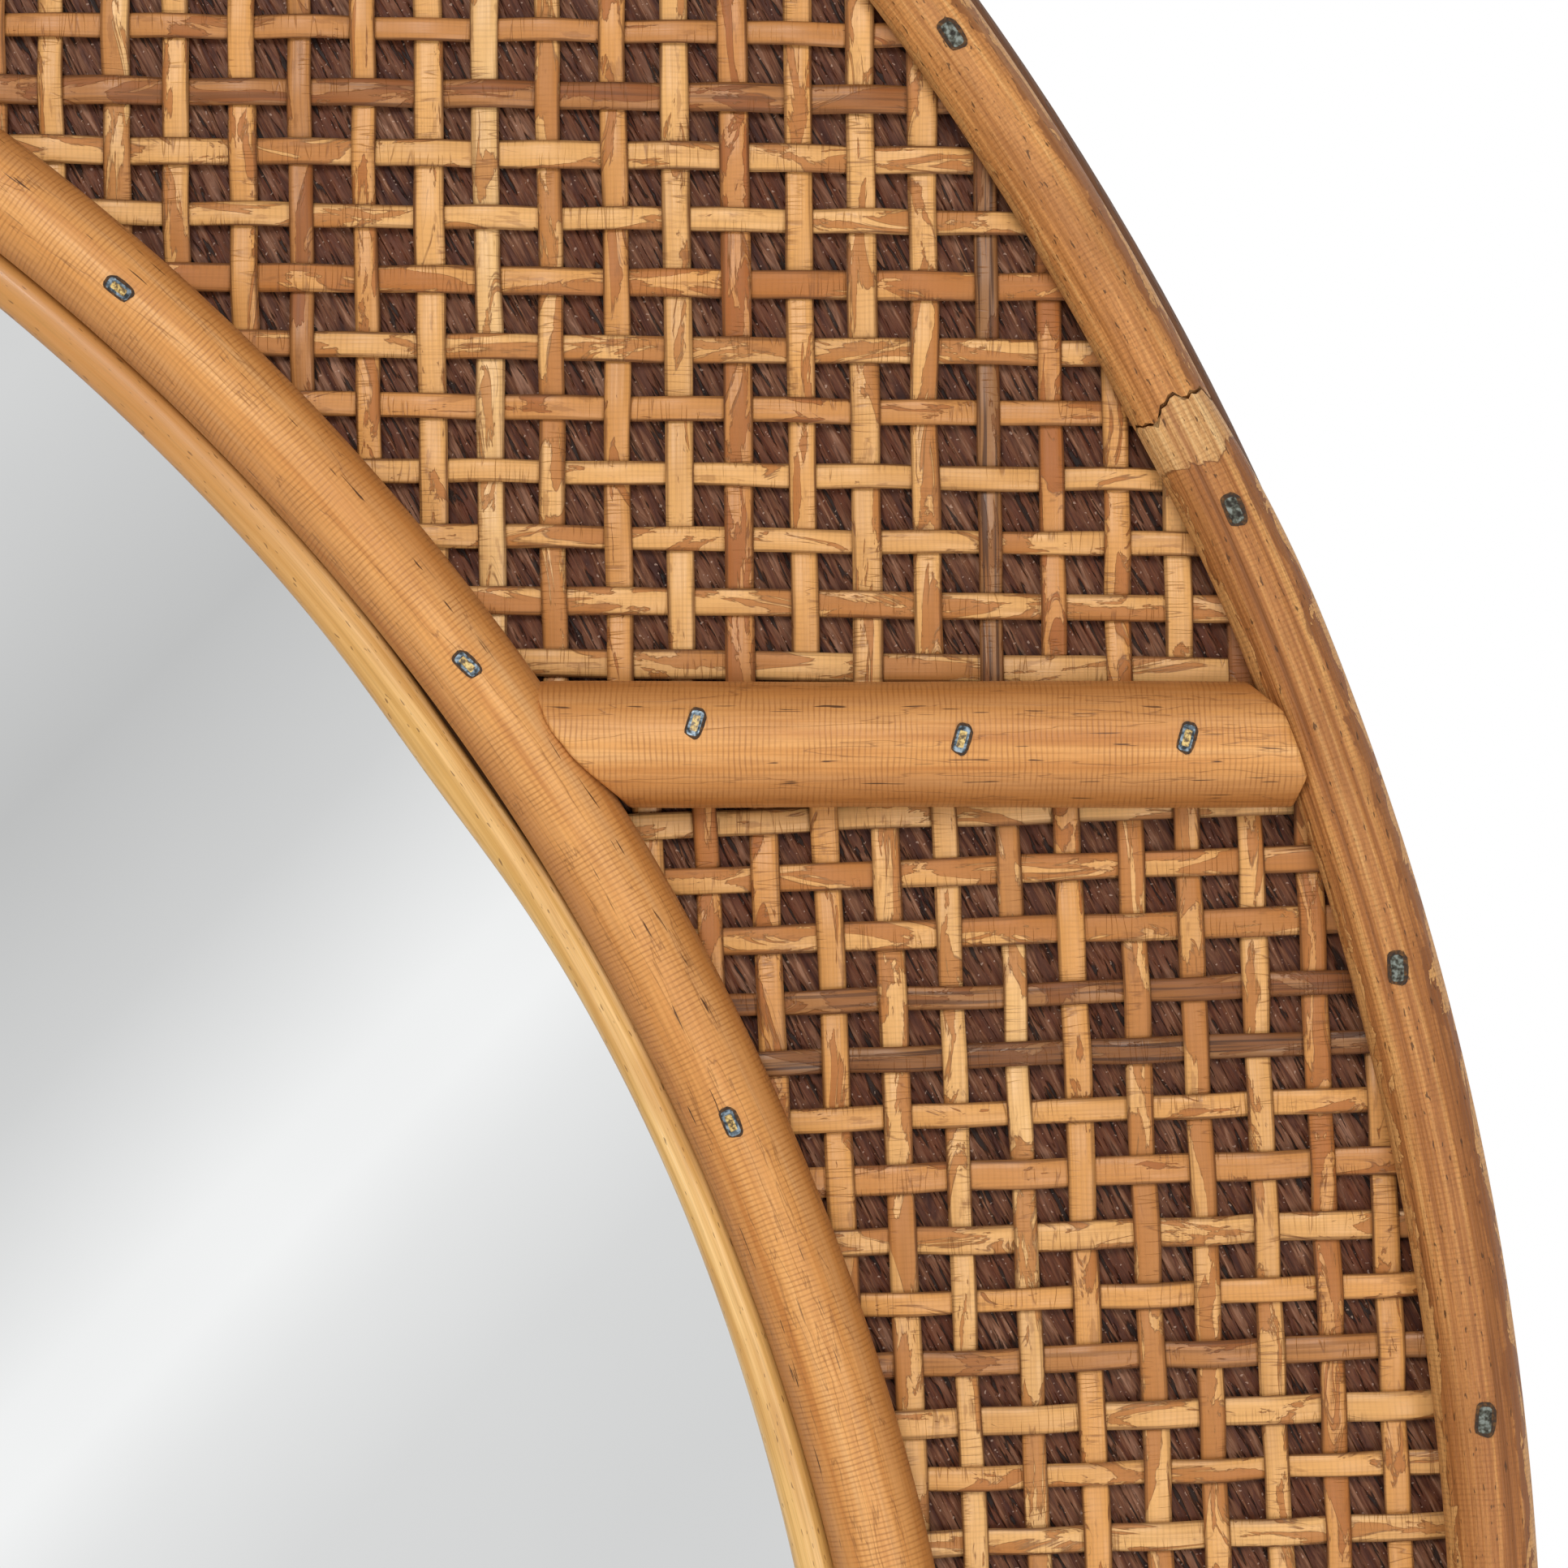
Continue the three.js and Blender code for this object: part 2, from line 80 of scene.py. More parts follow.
STRIP_WIDTH = 4.2 * MM
STRIP_THICKNESS = 1.05 * MM
STRIP_RISE = 0.7 * MM  # how far a strip rises and dips about the middle of the weave
WEAVE_MIDDLE = 10.65 * MM  # depth of the weave's middle from the wall
STRIP_STEP = 1.6 * MM  # length of one facet along a strip
STRIP_OUTER_END = 452 * MM
STRIP_INNER_END = 367.5 * MM
SEAM_TOP = STRUT_LEVEL - 3 * MM
SEAM_BOTTOM = STRUT_LEVEL - 6 * MM
MIDDLE_SEAM = 0.3 * MM

# Each panel: whether its first upright passes over (1) or under (-1) its first cross strip, and
# for each set the spacing and one strip's place in millimetres, and its lean in degrees
WEAVES = {
    "top": {
        "first_over": -1,
        "upright": {"pitch": 9.45, "x": 297.0, "z": 231.5, "lean": 0.8},
        "cross": {"pitch": 9.65, "x": 300.0, "z": 231.5, "lean": -0.7},
    },
    "right": {
        "first_over": 1,
        "upright": {"pitch": 9.17, "x": 360.9, "z": 61.2, "lean": 2.5},
        "cross": {"pitch": 9.28, "x": 389.2, "z": 95.7, "lean": 2.2},
    },
    "left": {
        "first_over": 1,
        "upright": {"pitch": 9.17, "x": -363.0, "z": 61.2, "lean": -1.4},
        "cross": {"pitch": 9.28, "x": -389.2, "z": 93.2, "lean": -1.2},
    },
}

# Strips whose tone stands out in the photograph, by their number from the first, 0 dark to 1 pale
NOTED_TONES = {
    ("top", "cross"): {
        3: 0.32, 2: 0.22, 1: 0.82, 0: 0.85, -1: 0.62, -2: 0.85, -3: 0.42, -4: 0.80, -5: 0.78,
        -6: 0.82, -7: 0.88,
    },
    ("top", "upright"): {
        -7: 0.80, -6: 0.92, -5: 0.75, -4: 0.60, -3: 0.26, -2: 0.55, -1: 0.75, 0: 0.97, 1: 0.85,
        2: 0.52, 3: 0.85, 4: 0.36, 5: 0.66, 6: 0.82, 7: 0.80, 8: 0.13, 9: 0.42, 10: 0.62, 11: 0.80,
    },
    ("right", "cross"): {
        5: 0.90, 4: 0.76, 3: 0.78, 2: 0.17, 1: 0.12, 0: 0.66, -1: 0.40, -2: 0.84, -3: 0.58,
        -4: 0.24, -5: 0.84, -6: 0.74, -7: 0.88,
    },
    ("right", "upright"): {
        -3: 0.50, -2: 0.50, -1: 0.60, 0: 0.85, 1: 0.88, 2: 0.92, 3: 0.58, 4: 0.84, 5: 0.76,
        6: 0.80, 7: 0.52, 8: 0.60,
    },
}

# The photograph's frame: 1932 pixels wide, at this many pixels to a millimetre on the weave
PHOTO_PIXELS = 1932
PIXELS_PER_MM = 8.114
VIEW_X = 341.9 * MM
VIEW_Z = 145.5 * MM
VIEW_PLANE = 13 * MM
LENS_MM = 120
SENSOR_MM = 36


# Colours and nodes

def linear(hex_colour):
    channels = [int(hex_colour[i : i + 2], 16) / 255 for i in (1, 3, 5)]
    bent = [c / 12.92 if c <= 0.04045 else ((c + 0.055) / 1.055) ** 2.4 for c in channels]
    return (*bent, 1.0)


def node(tree, kind, *values, named=None, stops=(), out=0, **settings):
    """Adds one node: its settings, its inputs in order and by name, each a value or a link, and a
    ramp's stops. Gives one of its outputs, or all of them for out=None."""
    made = tree.nodes.new("ShaderNode" + kind)
    for name, value in settings.items():
        setattr(made, name, value)
    for key, value in [*enumerate(values), *(named or {}).items()]:
        if isinstance(value, bpy.types.NodeSocket):
            tree.links.new(value, made.inputs[key])
        else:
            made.inputs[key].default_value = value
    for index, (position, colour) in enumerate(stops):
        elements = made.color_ramp.elements
        element = elements[index] if index < len(elements) else elements.new(1.0)
        element.position = position
        element.color = linear(colour) if isinstance(colour, str) else (colour,) * 3 + (1,)
    return list(made.outputs) if out is None else made.outputs[out]


def new_material(name):
    """A material, and the node function bound to its tree."""
    material = bpy.data.materials.new(name)
    material.use_nodes = True
    material.node_tree.nodes.clear()
    return material, partial(node, material.node_tree)


def grain(add, place, size, detail=3.0, roughness=0.5, distortion=0.0, between=None):
    """Noise drawn out along the grain, its features so long and so wide in millimetres. between
    is the part of its range that is spread over 0 to 1."""
    long, wide = size
    drawn_out = add("Mapping", place, named={"Scale": (1 / (long * MM), 1 / (wide * MM), 1)})
    form = {"Scale": 1.0, "Detail": detail, "Roughness": roughness, "Distortion": distortion}
    noise = add("TexNoise", named={"Vector": drawn_out, **form}, noise_dimensions="2D")
    return add("MapRange", noise, *between) if between else noise


def line_stops(half_width):
    """Stops of a ramp that is 1 where its value crosses the middle, and 0 away from there."""
    return [(0.5 - half_width, 0.0), (0.5, 1.0), (0.5 + half_width, 0.0)]


MIX_FACTOR, MIX_UNDER, MIX_OVER = 0, 6, 7  # places of a colour mix's inputs
MIX_RESULT = 2  # place of its output


def layered(add, colour, *layers):
    """Tones laid over a colour in turn. A layer is where it lies, how strongly, and its tone."""
    for where, strength, tone in layers:
        amount = add("Math", where, strength, operation="MULTIPLY")
        tone = linear(tone) if isinstance(tone, str) else tone
        mixed = {MIX_FACTOR: amount, MIX_UNDER: colour, MIX_OVER: tone}
        colour = add("Mix", named=mixed, data_type="RGBA", out=MIX_RESULT)
    return colour


def cover(add, colour, roughness, relief=(), strength=0.5, depth=0.2, **shader_values):
    """Ends a material with its shader. Relief is forms and their weights, and depth is the height
    in millimetres that a form of weight 1 stands for."""
    inputs = {"Base Color": colour, "Roughness": roughness, **shader_values}
    height = 0.0
    for form, weight in relief:
        height = add("Math", form, weight, height, operation="MULTIPLY_ADD")
    if relief:
        bump = {"Height": height, "Strength": strength, "Distance": depth * MM}
        inputs["Normal"] = add("Bump", named=bump)
    add("OutputMaterial", add("BsdfPrincipled", named=inputs), out=None)


# Materials

RING_PITCH = 0.85  # millimetres between the fine rings that the shaving knife left on a pole
STRIP_RING_PITCH = 0.9
WAVE_UNIT = math.pi / 10  # period of a wave texture at scale 1


def cut_rings(add, place, pitch):
    """Fine dark rings across shaved rattan, 1 on the line."""
    form = {"Distortion": 3.5, "Detail": 2.0, "Detail Scale": 0.35}
    scale = WAVE_UNIT / (pitch * MM)
    wave = add("TexWave", named={"Vector": place, "Scale": scale, **form}, out="Fac")
    patchy = add("MapRange", grain(add, place, (7, 4)), 0.3, 0.65, 0.25, 1.0)
    line = add("MapRange", wave, 0.0, 0.45, 1.0, 0.0)
    return add("Math", line, patchy, operation="MULTIPLY")


def split_rattan():
    """Split rattan, shaved flat from the vine's skin and lacquered: straw to brown strips, the
    glossy skin scraped off in ragged patches, with fine cracks across it, and edges darkened
    partly by fraying and partly by painted shade."""
    material, add = new_material("split_rattan")
    strip = add("Attribute", attribute_name="strip")
    tone, shift, peel = add("SeparateColor", strip, out=None)
    edge = add("Attribute", attribute_name="edge", out="Fac")
    shifted = add("CombineXYZ", shift, shift)
    place = add("VectorMath", add("UVMap", uv_map="grain"), shifted, operation="ADD")

    blotch = grain(add, place, (35, 9), 2.0, between=(0.42, 0.7))
    fibre = grain(add, place, (22, 0.4), 3.0, 0.6)
    fibre_dark = add("MapRange", fibre, 0.42, 0.7)
    stain = grain(add, place, (9, 2.2), 4.0, 0.6, between=(0.62, 0.68))
    rings = cut_rings(add, place, STRIP_RING_PITCH)
    crack_line = add("ValToRGB", grain(add, place, (1.3, 16), 1.0, 0.5, 0.2), stops=line_stops(0.03))
    where_cracked = grain(add, place, (14, 5), 1.0, between=(0.45, 0.6))
    cracks = add("Math", crack_line, where_cracked, operation="MULTIPLY")
    split = grain(add, place, (30, 0.7), 2.0, between=(0.5, 0.62))
    coarse = add("MapRange", tone, 0.1, 0.3, 1.0, 0.0)
    split = add("Math", split, coarse, operation="MULTIPLY")

    ragged = grain(add, place, (16, 3.6), 5.0, 0.62, 0.5)
    peeled = add("Math", ragged, add("MapRange", peel, 0, 1, -0.16, 0.08), operation="ADD")
    scraped = add("MapRange", peeled, 0.495, 0.515)
    border = add("ValToRGB", peeled, stops=line_stops(0.022))
    # painted shade with real fraying: strip edges darkened for the contact shadow where strips meet
    # and cross
    frayed_and_shaded_edge = add("Math", edge, add("MapRange", fibre, 0.3, 0.7, -0.1, 0.1), operation="ADD")

    skin_tones = [
        (0.00, "#6B4A30"),
        (0.12, "#8F6540"),
        (0.22, "#AC7340"),
        (0.36, "#C6874B"),
        (0.60, "#D89B57"),
        (0.85, "#E1AB69"),
        (1.00, "#E9BC7E"),
    ]
    skin = add("ValToRGB", tone, stops=skin_tones)
    darker = {MIX_FACTOR: 1.0, MIX_UNDER: skin, MIX_OVER: linear("#D0B59C")}
    core = add("Mix", named=darker, data_type="RGBA", blend_type="MULTIPLY", out=MIX_RESULT)
    colour = layered(
        add,
        skin,
        (scraped, 1.0, core),
        (blotch, 0.35, "#B67C40"),
        (fibre_dark, 0.25, "#966434"),
        (stain, 0.4, "#8A5629"),
        (rings, 0.16, "#8A5528"),
        (cracks, 0.6, "#7A4820"),
        (border, 0.7, "#6A3C19"),
        (split, 1.0, "#4A2B16"),
        # dark strip edges: partly fraying, partly painted contact shade
        (add("MapRange", frayed_and_shaded_edge, 0.68, 0.96), 0.9, "#5E3617"),
    )
    gloss = add("MapRange", fibre, 0.2, 0.8, 0.34, 0.48)
    rough = add("Math", scraped, 0.14, gloss, operation="MULTIPLY_ADD")
    relief = ((fibre, 0.35), (cracks, -0.4), (scraped, -0.45))
    cover(add, colour, rough, relief, 0.7, 0.2, IOR=1.4)
    return material


def rattan_pole():
    """Rattan pole with its skin shaved and lacquered: golden tan, streaked along its length, with
    fine rings across it where the skin was cut and short dark pores."""
    material, add = new_material("rattan_pole")
    place = add("UVMap", uv_map="grain")
    streak = grain(add, place, (90, 3), 4.0, 0.55)
    fine = grain(add, place, (14, 0.5), 3.0, 0.6)
    cloud = grain(add, place, (50, 12), 2.0, between=(0.4, 0.7))
    rings = cut_rings(add, place, RING_PITCH)
    dash = grain(add, place, (7, 0.45), 1.0, between=(0.68, 0.73))
    where_worn = grain(add, place, (150, 2.2), 2.0, between=(0.58, 0.64))
    wear_and_shade = add("Math", dash, where_worn, operation="MULTIPLY")
    groove = add("ValToRGB", grain(add, place, (60, 5), 4.0), stops=line_stops(0.008))
    # painted shade: the pole's colour darkens towards its flanks, where the light falls off its
    # round
    side = add("Math", add("SeparateXYZ", place, out="Y"), operation="ABSOLUTE")
    uneven = add("MapRange", streak, 0.3, 0.7, -2 * MM, 2 * MM)
    side = add("Math", side, uneven, operation="ADD")

    tones = [(0.25, "#C07D3D"), (0.45, "#DB9C57"), (0.6, "#E5A966"), (0.75, "#EEB878")]
    colour = layered(
        add,
        add("ValToRGB", streak, stops=tones),
        (cloud, 0.35, "#C27E3E"),
        # painted shade on the flanks
        (add("MapRange", side, 1.5 * MM, 9.5 * MM), 0.62, "#9A5A26"),
        (add("MapRange", fine, 0.4, 0.7), 0.35, "#A4662F"),
        (rings, 0.55, "#8E5626"),
        (groove, 0.5, "#6E3F1A"),
        (wear_and_shade, 0.9, "#43240F"),
    )
    rough = add("MapRange", fine, 0.2, 0.8, 0.42, 0.56)
    cover(add, colour, rough, ((fine, 0.4), (rings, -0.3), (groove, -0.5)), 0.5, 0.15, IOR=1.4)
    return material


BARE_LENGTH = 9 * MM  # of the patch split bare below the joint in the outer ring
UPPER_TONES = ("#9C6029", "#C08044", "#D49453", "#E3AC6B")
LOWER_TONES = ("#7E4A20", "#A96B36", "#C5874A", "#DEA765")


def scraped_pole(name, tones, ridge, end_bare):
    """Rattan pole scraped by hand: ridged along its length, brown skin left on its outer side in
    patches with ragged edges, and paler core laid bare. end_bare is 1 for a pole split bare at
    the joint, and 0 for one that isn't."""
    material, add = new_material(name)
    place = add("UVMap", uv_map="grain")
    along, around, _ = add("SeparateXYZ", place, out=None)
    streak = grain(add, place, (130, 1.7), 4.0, 0.6)
    fine = grain(add, place, (6, 0.4), 3.0, 0.6)
    grit = grain(add, place, (0.5, 0.5), 1.0, between=(0.5, 0.8))
    cloud = grain(add, place, (45, 8), 3.0, between=(0.45, 0.75))
    rings = cut_rings(add, place, RING_PITCH)
    speck = grain(add, place, (2.6, 0.7), 2.0, between=(0.7, 0.74))
    ragged = add("MapRange", grain(add, place, (11, 5), 5.0, 0.6, 0.6), 0, 1, -0.5, 0.5)
    side = add("Math", around, operation="ABSOLUTE")
    skin_edge = add("Math", ragged, 7 * MM, around, operation="MULTIPLY_ADD")
    skin = add("MapRange", skin_edge, 4.4 * MM, 4.6 * MM)
    chip_edge = add("Math", ragged, 13 * MM, side, operation="MULTIPLY_ADD")
    chip = add("MapRange", chip_edge, 7.4 * MM, 7.55 * MM)
    chip_line = add("MapRange", chip_edge, 7.1 * MM, 7.35 * MM)

    joint = JOINT_ANGLE * LOWER_POLE.radius + 3 * MM
    below = add("MapRange", along, joint - 20 * MM, joint - 19 * MM)
    above = add("MapRange", along, joint + 4 * MM, joint + 5 * MM, 1, 0)
    near_joint = add("Math", below, above, operation="MULTIPLY")
    bare_edge = add("Math", ragged, 7 * MM, along, operation="MULTIPLY_ADD")
    bare_start = joint - BARE_LENGTH
    bare = add("MapRange", bare_edge, bare_start, bare_start + 0.2 * MM)
    bare = add("Math", bare, near_joint, operation="MULTIPLY")
    bare_line = add("MapRange", bare_edge, bare_start - 5 * MM, bare_start + 5 * MM)
    bare_line = add("ValToRGB", bare_line, stops=line_stops(0.04))
    bare_line = add("Math", bare_line, near_joint, operation="MULTIPLY")
    pale_tones = [(0.3, "#A87140"), (0.46, "#D39F63"), (0.65, "#E8BE84")]

    colour = layered(
        add,
        add("ValToRGB", streak, stops=list(zip((0.28, 0.43, 0.56, 0.72), tones))),
        (cloud, 0.5, "#8E5526"),
        (skin, 0.7, "#7C4720"),
        (chip_line, 0.5, "#6A3C19"),
        (chip, 0.85, "#D9A160"),
        (bare, end_bare, add("ValToRGB", streak, stops=pale_tones)),
        (bare_line, 0.8 * end_bare, "#5C3416"),
        (add("MapRange", fine, 0.4, 0.7), 0.35, "#8A5930"),
        (grit, 0.35, "#7E4E26"),
        (rings, 0.3, "#7A4820"),
        (speck, 0.8, "#46290F"),
    )
    rough = add("MapRange", fine, 0.2, 0.8, 0.46, 0.6)
    cover(add, colour, rough, ((streak, ridge), (fine, 0.3), (chip, -0.3)), 0.8, 0.35, IOR=1.4)
    return material


BROWN_STRETCHES = 6  # round the bead
BROWN_TURN = math.radians(234)  # of a cycle, to where the photograph shows one


def rattan_bead():
    """Thin rattan core, smooth and glossy: pale yellow with faint lines along its length, browner
    in stretches."""
    material, add = new_material("rattan_bead")
    place = add("UVMap", uv_map="grain")
    streak = grain(add, place, (140, 1.8))
    cloud = grain(add, place, (30, 5))
    fine = grain(add, place, (12, 0.35), 2.0)
    speck = grain(add, place, (2.5, 0.6), 1.0, between=(0.74, 0.78))
    along = add("SeparateXYZ", place, out="X")
    cycles = BROWN_STRETCHES / BEAD.radius
    turned = add("Math", along, cycles, -BROWN_TURN, operation="MULTIPLY_ADD")
    stretch = add("Math", turned, operation="SINE")

    tones = [(0.3, "#CB9C56"), (0.48, "#DFB26E"), (0.62, "#E9BF7F"), (0.78, "#F0CD95")]
    colour = layered(
        add,
        add("ValToRGB", streak, stops=tones),
        (add("MapRange", stretch, -0.3, 0.7), 0.85, "#BA7D41"),
        (add("MapRange", cloud, 0.45, 0.65), 0.45, "#BE8746"),
        (add("MapRange", fine, 0.45, 0.7), 0.25, "#9C733A"),
        (speck, 0.7, "#6B4424"),
    )
    rough = add("MapRange", fine, 0.2, 0.8, 0.3, 0.42)
    cover(add, colour, rough, ((cloud, 1.0),), 0.4, 0.3, **{"IOR": 1.45, "Coat Weight": 0.15})
    return material


GRAIN_TURN = math.radians(-62)  # the face veneer's grain, from the horizontal
RIM_WIDTH = 9 * MM


def stained_plywood():
    """Plywood faced with an open-pored tropical veneer, stained purplish brown: ropy light fibres
    and dark pores on a steep slant, and a plain brown rim."""
    material, add = new_material("stained_plywood")
    place = add("TexCoord", out="Object")
    turned = add("Mapping", place, named={"Rotation": (0, GRAIN_TURN, 0)})
    x, _, z = add("SeparateXYZ", turned, out=None)
    flat = add("CombineXYZ", x, z)
    rope = grain(add, flat, (16, 1.5), 4.0, 0.62, 0.6)
    fine = grain(add, flat, (6, 0.4), 3.0, 0.6, 0.3)
    pore = grain(add, flat, (7, 0.8), 3.0, 0.5, 0.4, between=(0.58, 0.66))
    cloud = grain(add, flat, (18, 9), between=(0.45, 0.65))
    # painted highlight: pale specks standing for glints off the brushed veneer
    glint = grain(add, flat, (0.7, 0.7), 1.0, between=(0.74, 0.78))
    x, _, z = add("SeparateXYZ", place, out=None)
    reach = add("VectorMath", add("CombineXYZ", x, z), operation="LENGTH", out="Value")
    rim_start = BOARD_RADIUS - RIM_WIDTH
    at_rim = add("MapRange", reach, rim_start, rim_start + 0.5 * MM)
    rim = add("ValToRGB", fine, stops=[(0.3, "#5C3A22"), (0.7, "#70492E")])

    tones = [(0.3, "#3A1608"), (0.44, "#5A301B"), (0.56, "#74492F"), (0.7, "#966B52")]
    colour = layered(
        add,
        add("ValToRGB", rope, stops=tones),
        (cloud, 0.55, "#5E2C12"),
        (add("MapRange", fine, 0.45, 0.7), 0.6, "#2E1206"),
        (pore, 0.9, "#150702"),
        (glint, 0.35, "#D9B8A2"),
        (at_rim, 1.0, rim),
    )
    rough = add("MapRange", fine, 0.3, 0.7, 0.4, 0.6)
    cover(add, colour, rough, ((rope, 1.0), (pore, -0.5)), 0.8, 0.4, IOR=1.3)
    return material


def plywood_back():
    """The plywood's back veneer, sanded and wiped with the same stain: a dull brown, with long
    straight grain, broad darker bands and short open pores."""
    material, add = new_material("plywood_back")
    x, _, z = add("SeparateXYZ", add("TexCoord", out="Object"), out=None)
    flat = add("CombineXYZ", z, x)
    band = grain(add, flat, (420, 26), 4.0, 0.55, 0.4)
    fine = grain(add, flat, (90, 1.6), 3.0, 0.6, 0.1)
    pore = grain(add, flat, (12, 0.8), 2.0, between=(0.62, 0.7))
    tones = [(0.3, "#5A3723"), (0.46, "#70482F"), (0.58, "#7E563A"), (0.74, "#8F674A")]
    colour = layered(
        add,
        add("ValToRGB", band, stops=tones),
        (add("MapRange", fine, 0.4, 0.7), 0.45, "#55331F"),
        (pore, 0.6, "#3A2114"),
    )
    rough = add("MapRange", fine, 0.3, 0.7, 0.55, 0.7)
    cover(add, colour, rough, ((fine, 1.0), (pore, -0.6)), 0.4, 0.15, IOR=1.4)
    return material


def silvered_glass():
    """Float glass silvered on its back: a clear mirror, with a dark ring of painted shade by its
    edge.
    """
    material, add = new_material("silvered_glass")
    place = add("TexCoord", out="Object")
    dust = add("TexNoise", named={"Vector": place, "Scale": 1 / (40 * MM), "Detail": 2.0})
    spoke = add("VectorMath", place, (0, 0, MIRROR_Z), operation="SUBTRACT")
    reach = add("VectorMath", spoke, operation="LENGTH", out="Value")
    # painted shade: dark brown on the glass just past the bead, for the shade under the bead and the
    # pole
    wear_and_shade = add("MapRange", reach, BEAD.radius + 0.5 * MM, BEAD.radius + 1 * MM)
    silver = add("ValToRGB", dust, stops=[(0.3, "#FCFDFD"), (0.7, "#FAFBFB")])
    colour = layered(add, silver, (wear_and_shade, 1.0, "#3A2415"))
    cover(add, colour, add("MapRange", dust, 0.3, 0.7, 0.008, 0.014), Metallic=1.0)
    return material


def mottled(name, size, detail, tones, roughness, **shader_values):
    """A small fitting's surface: mottled at one size in millimetres, in tone and in gloss."""
    material, add = new_material(name)
    place = add("TexCoord", out="Object")
    mottle = add("TexNoise", named={"Vector": place, "Scale": 1 / (size * MM), "Detail": detail})
    colour = add("ValToRGB", mottle, stops=tones)
    cover(add, colour, add("MapRange", mottle, 0.3, 0.7, *roughness), **shader_values)
    return material


BRIGHT_STAPLE = ("#2A3034", "#59666F", "#8E9CA6")
# painted shade: a darker copy of the staple steel, for staples sunk deep in their holes
SHADED_STAPLE = ("#241F18", "#4B4C42", "#7A8079")


def staple_steel(name, tones):
    """Staple wire, blued and scuffed where the gun drove it. Its darker tones are painted shade, for
    staples sunk in deep holes.
    """
    return mottled(name, 0.7, 3.0, list(zip((0.38, 0.5, 0.64), tones)), (0.6, 0.4), Metallic=0.6)


def staple_glue():
    """The dried yellow glue that held the staples in their stick."""
    tones = [(0.4, "#5E4A2A"), (0.5, "#B08F4C"), (0.64, "#DDBF78")]
    return mottled("staple_glue", 0.5, 2.0, tones, (0.3, 0.5), IOR=1.5)


def shaded_crushed_fibre():
    """Rattan fibre crushed round a driven staple, dark with the painted shade of the dent it lies
    in.
    """
    tones = [(0.35, "#2A1B10"), (0.55, "#4A3119"), (0.7, "#6E4B28")]
    return mottled("shaded_crushed_fibre", 0.6, 3.0, tones, (0.7, 0.9), IOR=1.45)


def zinc_steel():
    """Pressed steel with bright zinc plating, lightly clouded."""
    tones = [(0.3, "#9C9FA2"), (0.5, "#B9BCBF"), (0.7, "#CFD1D3")]
    return mottled("zinc_steel", 4, 4.0, tones, (0.28, 0.42), Metallic=1.0)


# Modelling tools

def only(piece):
    """Selects one piece alone."""
    bpy.ops.object.select_all(action="DESELECT")
    piece.select_set(True)
    bpy.context.view_layer.objects.active = piece


def start_piece(name):
    """Names the primitive that was just added."""
    piece = bpy.context.object
    piece.name = name
    piece.data.name = name
    return piece


def place_in_mesh(piece):
    """Moves a piece's place, turn and size into its mesh."""
    only(piece)
    bpy.ops.object.transform_apply(location=True, rotation=True, scale=True)


def edit_picked(piece, kind, wanted):
    """Enters edit mode with only the wanted edges or faces selected."""
    only(piece)
    bpy.ops.object.mode_set(mode="EDIT")
    bpy.ops.mesh.select_mode(type=kind)
    bpy.ops.mesh.select_all(action="DESELECT")
    bpy.ops.object.mode_set(mode="OBJECT")
    for part in piece.data.edges if kind == "EDGE" else piece.data.polygons:
        part.select = wanted(part)
    bpy.ops.object.mode_set(mode="EDIT")


def face_outward(piece):
    only(piece)
    bpy.ops.object.mode_set(mode="EDIT")
    bpy.ops.mesh.select_all(action="SELECT")
    bpy.ops.mesh.normals_make_consistent(inside=False)
    bpy.ops.object.mode_set(mode="OBJECT")


def positions(piece):
    flat = np.empty(len(piece.data.vertices) * 3)
    piece.data.vertices.foreach_get("co", flat)
    return flat.reshape(-1, 3)


def move_to(piece, points):
    piece.data.vertices.foreach_set("co", np.asarray(points).ravel())
    piece.data.update()


def dress(piece, node_names, slot, *materials):
    piece.data.materials.clear()
    for material in materials:
        piece.data.materials.append(material)
    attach(piece, "root")
    if node_names:
        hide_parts(*node_names)


def smooth(piece, degrees):
    only(piece)
    bpy.ops.object.shade_smooth_by_angle(angle=math.radians(degrees))


def write_grain(piece, along, across):
    """A UV map in metres: each vertex's distance along the grain and across it."""
    layer = piece.data.uv_layers.new(name="grain")
    corners = np.empty(len(piece.data.loops), int)
    piece.data.loops.foreach_get("vertex_index", corners)
    layer.data.foreach_set("uv", np.column_stack([along[corners], across[corners]]).ravel())


def swell(turns, amount, seed, count=7, lowest=2):
    """A smooth, closed, seeded waver of about the given amount, over turns from 0 to 1."""
    draw = random.Random(seed)
    wave = np.zeros_like(turns)
    for i in range(count):
        cycles = lowest + i * draw.randint(1, 3)
        wave += math.sin(draw.random() * 6) * np.sin(
            2 * math.pi * (cycles * turns + draw.random())
        )
    return amount * wave / math.sqrt(count)


# Rings

FULL_TURN = 2 * math.pi


def axis_depth(pole):
    """Depth of a pole's axis from the wall. Its back is planed flat."""
    return pole.back + pole.diameter * (POLE_HEIGHT_SHARE - 0.5)


def spin_closed(piece, centre_z, sweep, steps):
    """Spins a section round the wall's normal. A full turn meets itself, an arc gets ends."""
    only(piece)
    bpy.ops.object.mode_set(mode="EDIT")
    bpy.ops.mesh.select_all(action="SELECT")
    bpy.ops.mesh.spin(steps=steps, angle=sweep, center=(0, 0, centre_z), axis=(0, 1, 0))
    bpy.ops.mesh.select_all(action="SELECT")
    bpy.ops.mesh.remove_doubles(threshold=0.001 * MM)
    if sweep < FULL_TURN:
        bpy.ops.mesh.fill_holes(sides=0)
    bpy.ops.object.mode_set(mode="OBJECT")
    face_outward(piece)


